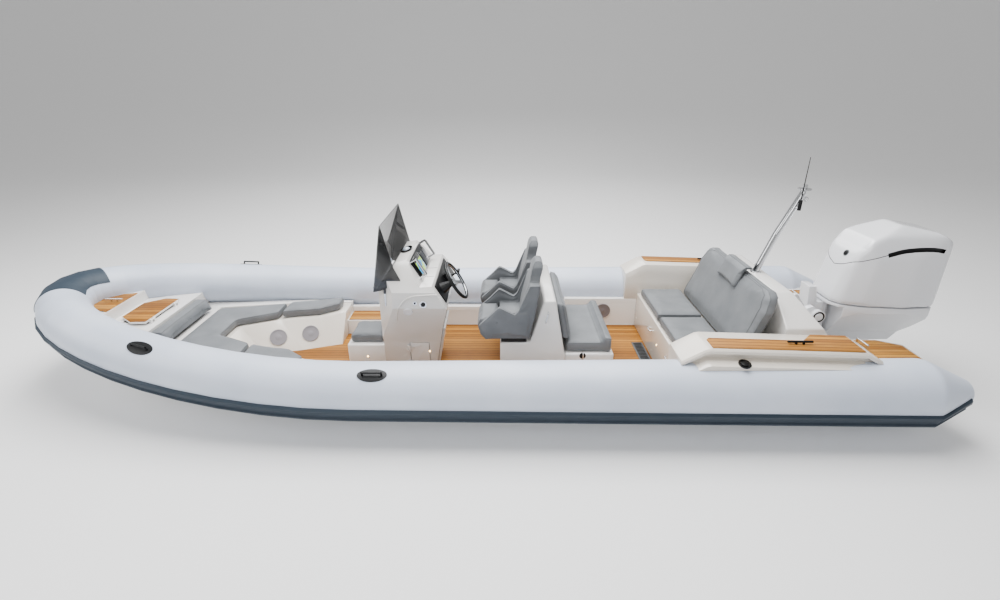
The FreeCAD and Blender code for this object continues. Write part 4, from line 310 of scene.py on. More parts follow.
@dataclass(frozen=True)
class Vinyl(Surface):
    """Marine vinyl over foam: a pebbled grain, matt, its colour a little worn."""

    name: str = "grey_vinyl"
    colour: str = "#717477"
    light: str = "#7F8285"
    roughness: float = 0.52
    grain: float = 260.0

    def mix(self, recipe: Recipe) -> None:
        """Mix the pebbled skin: cells of about 4 mm, coarser than the real 1.5 mm so that they show.

        Args:
            recipe: The material to fill in.
        """
        recipe.join(recipe.ramp(recipe.noise(5.0, 4.0), (0.3, self.colour), (0.75, self.light)),
                    recipe.shader.inputs["Base Color"])
        pebble = recipe.add("TexVoronoi", {"Scale": self.grain})
        recipe.join(recipe.position(), pebble.inputs["Vector"])
        recipe.vary("Roughness", recipe.noise(12.0, 3.0), self.roughness - 0.05, self.roughness + 0.1)
        recipe.bump(pebble.outputs["Distance"], 0.0006, 0.35)
        recipe.set(Sheen_Weight=0.15, Sheen_Roughness=0.5)


class Run(Enum):
    """The way the planks of a deck run."""

    ALONG = "Y"
    ACROSS = "X"


@dataclass(frozen=True)
class Teak(Surface):
    """Teak decking: a plank every 55 mm, with dark caulking of 5 mm between them."""

    name: str = "teak_decking"
    run: Run = Run.ALONG
    plank: float = 0.055
    caulk: float = 0.005
    offset: float = 0.0
    dark: str = "#86561F"
    light: str = "#BA853F"

    def mix(self, recipe: Recipe) -> None:
        """Mix straight-grained wood, a tone of its own in each plank, with the caulking cut in.

        Args:
            recipe: The material to fill in.
        """
        parts = recipe.add("SeparateXYZ")
        recipe.join(recipe.position(), parts.inputs["Vector"])
        shifted = recipe.add("Math", {1: self.offset}, operation="ADD")
        recipe.join(parts.outputs[self.run.value], shifted.inputs[0])
        row = recipe.add("Math", {1: 1.0 / self.plank}, operation="MULTIPLY")
        recipe.join(shifted.outputs[0], row.inputs[0])
        share = recipe.add("Math", operation="FRACT")
        recipe.join(row.outputs[0], share.inputs[0])
        seam = recipe.add("Math", {1: self.caulk / self.plank}, operation="LESS_THAN")
        recipe.join(share.outputs[0], seam.inputs[0])
        number = recipe.add("Math", operation="FLOOR")
        recipe.join(row.outputs[0], number.inputs[0])
        tone = recipe.add("TexWhiteNoise", noise_dimensions="1D")
        recipe.join(number.outputs[0], tone.inputs["W"])
        stretch = (3.0, 55.0, 20.0) if self.run is Run.ALONG else (55.0, 3.0, 20.0)
        grain = recipe.noise(3.0, 6.0, stretch)
        blend = recipe.add("Mix", {0: 0.45}, data_type="FLOAT")
        recipe.join(grain, blend.inputs[2])
        recipe.join(tone.outputs["Value"], blend.inputs[3])
        wood = recipe.ramp(blend.outputs[0], (0.25, self.dark), (0.75, self.light))
        caulked = recipe.add("Mix", data_type="RGBA")
        caulked.inputs[7].default_value = linear("#2C2018")
        recipe.join(seam.outputs[0], caulked.inputs[0])
        recipe.join(wood, caulked.inputs[6])
        recipe.join(caulked.outputs[2], recipe.shader.inputs["Base Color"])
        recipe.vary("Roughness", grain, 0.5, 0.68)
        recipe.bump(grain, 0.0006, 0.3)


@dataclass(frozen=True)
class Metal(Surface):
    """Metal: polished stainless tube, or turned and cast parts when duller."""

    name: str = "polished_steel"
    colour: str = "#DADBDD"
    roughness: float = 0.12

    def mix(self, recipe: Recipe) -> None:
        """Mix a metal with faint polishing marks in its gloss."""
        recipe.set(Base_Color=linear(self.colour), Metallic=1.0)
        recipe.vary("Roughness", recipe.noise(40.0, 3.0), self.roughness * 0.7, self.roughness * 1.4)


@dataclass(frozen=True)
class Paint(Surface):
    """Sprayed enamel with a clear coat over it, or moulded gloss plastic."""

    name: str = "white_motor_enamel"
    colour: str = "#E4E5E8"
    roughness: float = 0.2
    coat: float = 0.9
    glow: float = 0.0

    def mix(self, recipe: Recipe) -> None:
        """Mix a clean gloss with the faint orange peel of sprayed enamel.

        Args:
            recipe: The material to fill in.
        """
        recipe.set(Base_Color=linear(self.colour), Roughness=self.roughness, Coat_Weight=self.coat)
        recipe.bump(recipe.noise(220.0, 1.0), 0.0002, 0.15)
        if self.glow:
            recipe.set(Emission_Color=linear(self.colour), Emission_Strength=self.glow)


@dataclass(frozen=True)
class Chart(Surface):
    """A plotter's lit chart: blue water, a darker deep, lime shoals in soft blots, behind glass."""

    name: str = "lit_chart"
    glow: float = 0.55

    def mix(self, recipe: Recipe) -> None:
        """Mix blots of about 0.1 m, cut hard where one depth gives way to the next.

        Args:
            recipe: The material to fill in.
        """
        depth = recipe.noise(9.0, 1.5)
        colour = recipe.ramp(depth, (0.0, "#0A4E86"), (0.44, "#1173B4"), (0.5, "#2FA0D4"), (0.56, "#A9D62B"),
                             (0.66, "#7CBF3A"))
        colour.node.color_ramp.interpolation = "CONSTANT"
        recipe.join(colour, recipe.shader.inputs["Base Color"])
        recipe.join(colour, recipe.shader.inputs["Emission Color"])
        recipe.set(Emission_Strength=self.glow, Roughness=0.08, Coat_Weight=1.0)


@dataclass(frozen=True)
class Glass(Surface):
    """Smoked acrylic sheet, dark, thin and glossy."""

    name: str = "smoked_acrylic"
    colour: str = "#141518"
    alpha: float = 0.78

    def mix(self, recipe: Recipe) -> None:
        """Mix a dark gloss that lets a little of what is behind it through."""
        recipe.set(Base_Color=linear(self.colour), Roughness=0.04, Alpha=self.alpha, Specular_IOR_Level=0.7,
                   Coat_Weight=0.6)


GELCOAT = Gelcoat()
CREAM_GELCOAT = Gelcoat("cream_gelcoat", "#E2DCD3", 0.24)
CONSOLE_GELCOAT = Gelcoat("console_gelcoat", "#DBD9D6", 0.24)
TUBE_FABRIC = TubeFabric()
STRAKE_RUBBER = Rubber()
PATCH_FABRIC = Rubber("patch_fabric", "#36434F", 0.5)
HANDLE_RUBBER = Rubber("handle_rubber", "#15171A", 0.42)
GRILLE_PLASTIC = Rubber("grille_plastic", "#8B888C", 0.6)
GRATE_PLASTIC = Rubber("grate_plastic", "#5C6063", 0.5)
VINYL = Vinyl()
SEAT_VINYL = Vinyl("seat_vinyl", "#6B6E71", "#797C7F")
PIPING = Vinyl("piping_vinyl", "#64676A", "#707376")
GLOSS_BLACK = Paint("gloss_black_panel", "#08090B", 0.1)
SATIN_BLACK = Rubber("satin_black_plastic", "#121315", 0.36)
CHROME = Metal()
STEEL = Metal("turned_steel", "#B9BCC0", 0.25)
DARK_METAL = Metal("dark_casting", "#3A3C41", 0.45)
WHITE_ENAMEL = Paint()
GLASS = Glass()
CHART = Chart()
SCREEN_GLASS = Paint("display_glass", "#1B222B", 0.05, 1.0)
# The compass's clear dome is drawn opaque in a pale blue-grey that is a painted reflection.
DOME_PAINTED_REFLECTION = Paint("compass_dome_painted_reflection", "#A9B1BC", 0.06, 1.0)
WARM_LAMP = Paint("warm_lamp", "#FFD9A0", 0.3, 0.0, 6.0)
TEAK = Teak()
CAP_TEAK = Teak("teak_caps", plank=0.048, offset=0.02, dark="#94622A", light="#C7944C")
FLOOR = Paint("studio_floor", "#E6E6E6", 0.9, 0.0, 0.12)


# Shaping by hand

def only(*pieces: bpy.types.Object) -> None:
    """Select some objects alone and make the first one active.

    Args:
        pieces: The objects to select.
    """
    bpy.ops.object.select_all(action="DESELECT")
    for piece in pieces:
        piece.select_set(True)
    bpy.context.view_layer.objects.active = pieces[0]


def edit(piece: bpy.types.Object) -> None:
    """Enter edit mode on one piece with all of it selected.

    Args:
        piece: The piece to edit.
    """
    only(piece)
    bpy.ops.object.mode_set(mode="EDIT")
    bpy.ops.mesh.select_all(action="SELECT")


def leave_edit() -> None:
    """Return to object mode."""
    bpy.ops.object.mode_set(mode="OBJECT")


def settle(piece: bpy.types.Object) -> bpy.types.Object:
    """Write a piece's place into its mesh.

    Args:
        piece: The piece to settle.

    Returns:
        The same piece, at the origin.
    """
    only(piece)
    bpy.ops.object.transform_apply(location=True, rotation=True, scale=True)
    return piece


def clean(piece: bpy.types.Object) -> bpy.types.Object:
    """Merge a piece's doubles and turn its faces outwards.

    Args:
        piece: The piece to clean.

    Returns:
        The same piece.
    """
    edit(piece)
    bpy.ops.mesh.remove_doubles(threshold=1e-5)
    bpy.ops.mesh.normals_make_consistent(inside=False)
    leave_edit()
    return piece


def smooth(piece: bpy.types.Object, degrees: float = 32.0) -> bpy.types.Object:
    """Shade a piece smooth but for its sharp edges.

    Args:
        piece: The piece to shade.
        degrees: The angle past which an edge is sharp.

    Returns:
        The same piece.
    """
    only(piece)
    bpy.ops.object.shade_smooth_by_angle(angle=math.radians(degrees))
    return piece


def apply(piece: bpy.types.Object, kind: str, **settings: object) -> bpy.types.Object:
    """Add a modifier, apply it and return the piece.

    Args:
        piece: The object to change.
        kind: Blender's name of the modifier type.
        settings: The modifier's settings by name.

    Returns:
        The same piece.
    """
    only(piece)
    modifier = piece.modifiers.new(kind.lower(), kind)
    for name, value in settings.items():
        setattr(modifier, name, value)
    bpy.ops.object.modifier_apply(modifier=modifier.name)
    return piece


def body_of(node: str) -> str:
    """Return the name of the body that a CAD node belongs to."""
    parent = FRAME["nodes"][node].parent
    return next(name for name, empty in FRAME["bodies"].items() if empty == parent)


def copy_of(node: str, label: str) -> bpy.types.Object:
    """Copy a CAD node's mesh into a new merged piece.

    Args:
        node: The CAD node's name.
        label: The new piece's name.

    Returns:
        The new piece, not yet on a body.
    """
    piece = bpy.data.objects.new(label, FRAME["nodes"][node].data.copy())
    bpy.context.scene.collection.objects.link(piece)
    for attribute in ("custom_normal", "sharp_face", "sharp_edge"):
        if attribute in piece.data.attributes:
            piece.data.attributes.remove(piece.data.attributes[attribute])
    edit(piece)
    bpy.ops.mesh.remove_doubles(threshold=1e-5)
    bpy.ops.mesh.dissolve_limited(angle_limit=math.radians(0.4))
    bpy.ops.mesh.normals_make_consistent(inside=False)
    leave_edit()
    return piece


def stand_for(piece: bpy.types.Object, *nodes: str) -> bpy.types.Object:
    """Let a finished piece stand for CAD nodes and ride on their body.

    Args:
        piece: The finished piece.
        nodes: The names of the CAD nodes that it replaces.

    Returns:
        The same piece.
    """
    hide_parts(*nodes)
    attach(piece, body_of(nodes[0]))
    return piece


def pipe(label: str, points: list[tuple[float, float, float]], radius: float, closed: bool = False,
         sides: int = 3) -> bpy.types.Object:
    """Make a round bar or a bead along points.

    Args:
        label: The piece's name.
        points: The line it follows, in metres.
        radius: Its radius in metres.
        closed: Whether the line runs round.
        sides: The curve's bevel resolution.

    Returns:
        The bar as a mesh.
    """
    line = bpy.data.curves.new(label, "CURVE")
    line.dimensions = "3D"
    line.bevel_depth = radius
    line.bevel_resolution = sides
    line.use_fill_caps = True
    spline = line.splines.new("POLY")
    spline.points.add(len(points) - 1)
    for point, place in zip(spline.points, points):
        point.co = (*place, 1.0)
    spline.use_cyclic_u = closed
    piece = bpy.data.objects.new(label, line)
    bpy.context.scene.collection.objects.link(piece)
    only(piece)
    bpy.ops.object.convert(target="MESH")
    return smooth(clean(piece), 60.0)


def bent(points: list[tuple[float, float, float]], radius: float, steps: int = 6) -> list[tuple]:
    """Round the corners of a line of points.

    Args:
        points: The line's corners in metres.
        radius: How far before each corner the bend starts.
        steps: How many points each bend gets.

    Returns:
        The line with its corners rounded.
    """
    line = [Vector(point) for point in points]
    out = [line[0]]
    for before, corner, after in zip(line, line[1:], line[2:]):
        start = corner + (before - corner).normalized() * min(radius, (before - corner).length * 0.45)
        end = corner + (after - corner).normalized() * min(radius, (after - corner).length * 0.45)
        for step in range(steps + 1):
            share = step / steps
            out.append(start.lerp(corner, share).lerp(corner.lerp(end, share), share))
    out.append(line[-1])
    return [tuple(point) for point in out]


def paced(line: list[Vector], pace: float) -> list[Vector]:
    """Add places to a line so that they lie closely.

    Args:
        line: The line's corners.
        pace: About how far apart the places lie, in metres.

    Returns:
        The places from the line's start to its end.
    """
    places = []
    for start, end in zip(line, line[1:]):
        steps = max(1, int((end - start).length / pace))
        places += [start.lerp(end, step / steps) for step in range(steps)]
    return places + [line[-1]]


def box_piece(label: str, low: tuple, high: tuple, rounding: float = 0.003,
              segments: int = 3) -> bpy.types.Object:
    """Make a block between two corners with its edges rounded.

    Args:
        label: The piece's name.
        low: Its lowest corner in metres.
        high: Its highest corner in metres.
        rounding: The radius of its edges.
        segments: How many facets the rounding has.

    Returns:
        The new piece at the origin, its place in its mesh.
    """
    middle = (Vector(low) + Vector(high)) / 2
    size = Vector(high) - Vector(low)
    bpy.ops.object.select_all(action="DESELECT")
    bpy.ops.mesh.primitive_cube_add(size=1.0, location=middle)
    piece = bpy.context.object
    piece.name = label
    piece.scale = size
    settle(piece)
    edit(piece)
    bpy.ops.mesh.bevel(offset=min(rounding, min(size) * 0.45), segments=segments, affect="EDGES")
    leave_edit()
    return smooth(piece, 40.0)


def disc_piece(label: str, middle: Vector, axis: Vector, radius: float, depth: float, rim: float = 0.0,
               sink: float = 0.0, sides: int = 48) -> bpy.types.Object:
    """Make a round plate or a dished cap that faces along axis.

    Args:
        label: The piece's name.
        middle: The middle of its underside in metres.
        axis: The way it faces.
        radius: Its radius.
        depth: Its thickness.
        rim: The width of its raised rim, or nought.
        sink: How deep the middle lies below the rim.
        sides: How many sides the circle has.

    Returns:
        The new piece at the origin, its place in its mesh.
    """
    way = axis.normalized()
    bpy.ops.object.select_all(action="DESELECT")
    bpy.ops.mesh.primitive_cylinder_add(vertices=sides, radius=radius, depth=depth)
    piece = bpy.context.object
    piece.name = label
    edit(piece)
    bpy.ops.mesh.select_all(action="DESELECT")
    leave_edit()
    for face in piece.data.polygons:
        face.select = face.normal.z > 0.9
    bpy.ops.object.mode_set(mode="EDIT")
    bpy.ops.mesh.select_mode(type="FACE")
    if rim:
        bpy.ops.mesh.inset(thickness=rim, depth=0.0)
        bpy.ops.mesh.inset(thickness=rim * 0.15, depth=-sink)
    else:
        bpy.ops.mesh.inset(thickness=min(radius * 0.08, depth * 0.4), depth=min(radius * 0.04, depth * 0.2))
    leave_edit()
    piece.rotation_euler = way.to_track_quat("Z", "Y").to_euler()
    piece.location = Vector(middle) + way * depth / 2
    return smooth(settle(piece), 40.0)


def joined(label: str, *pieces: bpy.types.Object) -> bpy.types.Object:
    """Join pieces into one.

    Args:
        label: The new piece's name.
        pieces: The pieces to join.

    Returns:
        The joined piece.
    """
    only(*pieces)
    bpy.ops.object.join()
    whole = bpy.context.object
    whole.name = label
    return whole


# Rigid mouldings

@dataclass
class Moulding:
    """One or more CAD nodes with their edges rounded as a mould or a router leaves them."""

    nodes: tuple[str, ...]
    surface: Surface
    rounding: float = 0.008
    segments: int = 3
    sharp: float = 30.0

    def shape(self, node: str) -> bpy.types.Object:
        """Round the edges of a copy of one node.

        Args:
            node: The CAD node's name.

        Returns:
            The rounded copy.
        """
        piece = copy_of(node, node + "_shaped")
        if self.rounding:
            apply(piece, "BEVEL", width=self.rounding, segments=self.segments, limit_method="ANGLE",
                  angle_limit=math.radians(self.sharp), use_clamp_overlap=True, miter_outer="MITER_ARC")
        return smooth(piece, 38.0)

    def build(self) -> None:
        """Make and dress every piece."""
        for node in self.nodes:
            piece = self.surface.paint(self.shape(node))
            stand_for(piece, node)
            LOG.info("moulding %s: %d faces", node, len(piece.data.polygons))


# Padded pieces

def outlines(piece: bpy.types.Object, way: Vector) -> list[list[Vector]]:
    """Return the closed outlines of the faces that look along way.

    Args:
        piece: The mesh to read.
        way: The direction, of length one.

    Returns:
        The outlines, each a list of places in order.
    """
    chosen = [face for face in piece.data.polygons if face.normal.dot(way) > 0.8]
    count: dict[tuple[int, int], int] = {}
    for face in chosen:
        for key in face.edge_keys:
            count[key] = count.get(key, 0) + 1
    onward: dict[int, list[int]] = {}
    for (start, end), times in count.items():
        if times == 1:
            onward.setdefault(start, []).append(end)
            onward.setdefault(end, []).append(start)
    found = []
    while onward:
        first = next(iter(onward))
        ring = [first]
        here = first
        while onward.get(here):
            there = onward[here].pop()
            onward[there].remove(here)
            if there == first:
                break
            ring.append(there)
            here = there
        onward = {key: ends for key, ends in onward.items() if ends}
        if len(ring) > 2:
            found.append([piece.data.vertices[number].co.copy() for number in ring])
    return found


@dataclass
class Cushion:
    """Foam under sewn vinyl: the CAD solid, crowned by pressure, with piping along its edges."""

    node: str
    surface: Surface = VINYL
    voxel: float = 0.017
    shrink: float = 0.006
    cap: float = 0.014
    pressure: float = 4.0
    frames: int = 16
    fill: float = 0.8
    rounding: float = 0.024
    bead: float = 0.0034
    lift: float = 0.0004
    pace: float = 0.02
    least_step: float = 0.004
    rings: tuple[tuple[tuple[float, float, float], float], ...] = ()

    def puff(self, piece: bpy.types.Object) -> None:
        """Swell the remeshed skin by cloth pressure, each point held to within the cap.

        Args:
            piece: The remeshed cushion.
        """
        rest = [point.co.copy() for point in piece.data.vertices]
        only(piece)
        cloth = piece.modifiers.new("foam", "CLOTH")
        cloth.settings.quality = 4
        cloth.settings.mass = 0.3
        cloth.settings.tension_stiffness = 25
        cloth.settings.bending_stiffness = 2.0
        cloth.settings.use_pressure = True
        cloth.settings.uniform_pressure_force = self.pressure
        cloth.settings.effector_weights.gravity = 0.0
        cloth.point_cache.frame_start = 1
        cloth.point_cache.frame_end = self.frames
        scene = bpy.context.scene
        for frame in range(1, self.frames + 1):
            scene.frame_set(frame)
        bpy.ops.object.modifier_apply(modifier=cloth.name)
        scene.frame_set(1)
        for point, start in zip(piece.data.vertices, rest):
            move = point.co - start
            if move.length > self.cap:
                point.co = start + move.normalized() * self.cap

    def keep_in(self, piece: bpy.types.Object) -> None:
        """Hold the underside flat where the cushion rests.

        Args:
            piece: The swollen cushion.
        """
        low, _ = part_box(self.node)
        for point in piece.data.vertices:
            point.co.z = max(point.co.z, low.z + self.lift)

    def build(self) -> bpy.types.Object:
        """Make, sew and dress the cushion.

        Returns:
            The finished cushion.
        """
        piece = copy_of(self.node, self.node + "_sewn")
        lines: list[list[Vector]] = []
        for way, inset in self.rings:
            for ring in outlines(piece, Vector(way).normalized()):
                middle = sum(ring, Vector()) / len(ring)
                drawn = [place + (middle - place).normalized() * inset for place in ring]
                lines.append(drawn + drawn[:1])
        apply(piece, "BEVEL", width=self.rounding, segments=4, limit_method="ANGLE",
              angle_limit=math.radians(30), use_clamp_overlap=True)
        apply(piece, "REMESH", mode="VOXEL", voxel_size=self.voxel, adaptivity=0.0)
        apply(piece, "SMOOTH", factor=0.5, iterations=4)
        for point, normal in [(point, point.normal.copy()) for point in piece.data.vertices]:
            point.co -= normal * self.shrink
        self.puff(piece)
        self.keep_in(piece)
        apply(piece, "SMOOTH", factor=0.4, iterations=2)
        apply(piece, "SUBSURF", levels=1, render_levels=1)
        smooth(piece, 180.0)
        self.surface.paint(piece)
        for number, line in enumerate(lines):
            self.sew(piece, number, line)
        stand_for(piece, self.node)
        LOG.info("cushion %s: %d faces", self.node, len(piece.data.polygons))
        return piece

    def sew(self, piece: bpy.types.Object, number: int, line: list[Vector]) -> None:
        """Lay a bead of piping on the skin along a line.

        Args:
            piece: The cushion.
            number: The seam's number in the piece's name.
            line: The seam's corners, near the skin.
        """
        on_skin = []
        for place in paced(line, self.pace):
            found, spot, normal, _ = piece.closest_point_on_mesh(place)
            if found and (not on_skin or (spot - Vector(on_skin[-1])).length > self.least_step):
                on_skin.append(tuple(spot + normal * self.lift))
        bead = PIPING.paint(pipe("%s_seam_%d" % (self.node, number), on_skin, self.bead, sides=2))
        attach(bead, body_of(self.node))


# Small fittings laid on what carries them

def skin(node: str, place: tuple[float, float, float]) -> tuple[Vector, Vector]:
    """Find the nearest point of a CAD node's surface.

    Args:
        node: The CAD node's name.
        place: The place to look from, in metres.

    Returns:
        The point and the way the surface faces there.
    """
    if node not in SKINS:
        mesh = FRAME["nodes"][node].data
        SKINS[node] = BVHTree.FromPolygons([point.co for point in mesh.vertices],
                                           [tuple(face.vertices) for face in mesh.polygons])
    spot, normal, _, _ = SKINS[node].find_nearest(Vector(place))
    return spot, normal


def round_fitting(node: str, label: str, place: tuple[float, float, float], radius: float, depth: float,
                  surface: Surface, rim: float = 0.0, sink: float = 0.0) -> bpy.types.Object:
    """Set a round fitting on a CAD node near a place.

    Args:
        node: The CAD node that carries it.
        label: The piece's name.
        place: A place near its middle, in metres.
        radius: Its radius.
        depth: How far it stands off.
        surface: Its finish.
        rim: The width of its raised rim, or nought.
        sink: How deep its middle lies below the rim.

    Returns:
        The fitting, riding on the node's body.
    """
    spot, normal = skin(node, place)
    piece = surface.paint(disc_piece(label, spot - normal * 0.001, normal, radius, depth, rim, sink))
    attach(piece, body_of(node))
    return piece


def bead_on(node: str, label: str, places: list[tuple[float, float, float]], radius: float,
            surface: Surface, bend: float = 0.03) -> bpy.types.Object:
    """Lay a raised line on a CAD node's surface along places near it.

    Args:
        node: The CAD node that carries it.
        label: The piece's name.
        places: The line's corners in metres.
        radius: Half the line's width.
        surface: Its finish.
        bend: How far from each corner it starts to turn.

    Returns:
        The line, riding on the node's body.
    """
    on_skin = []
    for place in paced([Vector(place) for place in bent(places, bend)], LINE_PACE):
        spot, _ = skin(node, place)
        if not on_skin or (spot - Vector(on_skin[-1])).length > LINE_LEAST_STEP:
            on_skin.append(tuple(spot))
    piece = surface.paint(pipe(label, on_skin, radius))
    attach(piece, body_of(node))
    return piece


def grab_handle(node: str, label: str, foot: Vector, head: Vector, out: Vector,
                radius: float = 0.006) -> None:
    """Set a bent steel handle between two feet.

    Args:
        node: The CAD node that carries it.
        label: The piece's name.
        foot: One foot.
        head: The other foot.
        out: How far and which way it stands off.
        radius: The bar's radius.
    """
    line = bent([tuple(foot), tuple(foot + out), tuple(head + out), tuple(head)], out.length * 0.5)
    piece = CHROME.paint(pipe(label, line, radius))
    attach(piece, body_of(node))


# The boat's parts

@dataclass
class TwoTone(Moulding):
    """A CAD node in two finishes, told apart by where its faces lie."""

    second: Surface = CHROME
    is_second: Callable[[Vector], bool] = lambda place: False

    def build(self) -> None:
        """Make every piece and hand its faces to the two finishes."""
        for node in self.nodes:
            piece = self.surface.paint(self.shape(node))
            piece.data.materials.append(self.second.build())
            for face in piece.data.polygons:
                face.material_index = int(self.is_second(face.center))
            stand_for(piece, node)


@dataclass
class Hull:
    """The glass-fibre parts of the boat: hull, liner, decks, lockers and stern, with their teak."""

    slats: int = 22
    slat_share: float = 0.55
    slat_end: float = 0.014
    slat_margin: float = 0.015
    slat_sunk: float = 0.002
    slat_proud: float = 0.001

    def build(self) -> None:
        """Round and finish every moulding."""
        Moulding(("hull",), GELCOAT, 0.01).build()
        Moulding(("deck_liner",), GELCOAT, 0.012).build()
        Moulding(("bow_deck",), GELCOAT, 0.0).build()
        Moulding(("console_door",), GELCOAT, 0.004, 2).build()
        _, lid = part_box("bow_hatch")
        TwoTone(("bow_hatch",), GELCOAT, 0.004, 2, second=TEAK,
                is_second=lambda place: place.z > lid.z - 0.0015).build()
        Moulding(("platform_port", "platform_starboard"), GELCOAT, 0.012).build()
        Moulding(("stern_moulding",), GELCOAT, 0.03, 4).build()
        Moulding(("bow_seat_moulding", "bench_moulding"), CREAM_GELCOAT, 0.012).build()
        Moulding(("front_seat_moulding", "aft_seat_moulding", "helm_module"), GELCOAT, 0.02, 4).build()
        Moulding(("arm_port", "arm_starboard"), CREAM_GELCOAT, 0.008).build()
        Moulding(("teak_sole",), TEAK, 0.0).build()
        Moulding(("teak_trim",), CAP_TEAK, 0.002, 2).build()
        Moulding(("floor_hatch",), GRATE_PLASTIC, 0.002, 2).build()
        self.add_grate()

    def add_grate(self) -> None:
        """Lay the slats of the floor grate in its sunk panel."""
        low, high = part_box("floor_hatch")
        step = (high.y - low.y - 2.0 * self.slat_margin) / self.slats
        first = low.y + self.slat_margin
        slat = box_piece("grate_slat", (low.x + self.slat_end, first, high.z - self.slat_sunk),
                         (high.x - self.slat_end, first + step * self.slat_share, high.z + self.slat_proud),
                         rounding=0.001, segments=1)
        slats = [slat]
        for number in range(1, self.slats):
            other = slat.copy()
            other.data = slat.data.copy()
            bpy.context.scene.collection.objects.link(other)
            other.location.y += step * number
            slats.append(settle(other))
        grate = SATIN_BLACK.paint(joined("floor_grate", *slats))
        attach(grate, "boat")


@dataclass
class Tubes:
    """The inflated collar with its rubbing strake, bow patch and handles, and the speakers' grilles."""

    def build(self) -> None:
        """Finish the collar and what is glued to it, then the speakers."""
        for node in ("tube_port", "tube_starboard", "tube_bow"):
            TUBE_FABRIC.paint(FRAME["nodes"][node])
        Moulding(("rub_strake",), STRAKE_RUBBER, 0.01, 3, 25).build()
        PATCH_FABRIC.paint(FRAME["nodes"]["bow_patch"])
        HANDLE_RUBBER.paint(FRAME["nodes"]["tube_handles"])
        GRILLE_PLASTIC.paint(FRAME["nodes"]["speakers"])


@dataclass
class Upholstery:
    """Every cushion, backrest and seat aboard."""

    def build(self) -> None:
        """Sew the cushions from bow to stern."""
        up = (0.0, 0.0, 1.0)
        for node in ("bow_cushion_front", "bow_cushion_port", "bow_cushion_starboard", "front_seat_cushion"):
            Cushion(node, rings=((up, 0.0),)).build()
        Cushion("bow_backrest", rings=((up, 0.0),), voxel=0.01, cap=0.01).build()
        Cushion("aft_seat_cushion", rings=((up, 0.0),)).build()
        Cushion("aft_seat_backrest", rings=(((-1.0, 0.0, 0.3), 0.0),), cap=0.02).build()
        for node in ("bench_cushion_port", "bench_cushion_starboard"):
            Cushion(node, rings=((up, 0.0),)).build()
        face = (0.9, 0.0, 0.4)
        Cushion("bench_backrest", rings=((face, 0.0), (face, 0.0975)), cap=0.024).build()
        Cushion("bench_pillow", rings=((up, 0.0),), cap=0.01, rounding=0.02, voxel=0.009,
                shrink=0.004).build()
        for node in ("helm_seat_port", "helm_seat_starboard"):
            Cushion(node, surface=SEAT_VINYL, voxel=0.009, cap=0.007, shrink=0.002, rounding=0.012,
                    rings=(((0.0, 1.0, 0.0), 0.0), ((0.0, -1.0, 0.0), 0.0))).build()
        for node in ("bolster_port", "bolster_starboard"):
            Cushion(node, surface=SEAT_VINYL, voxel=0.008, cap=0.008, shrink=0.003, rounding=0.014).build()


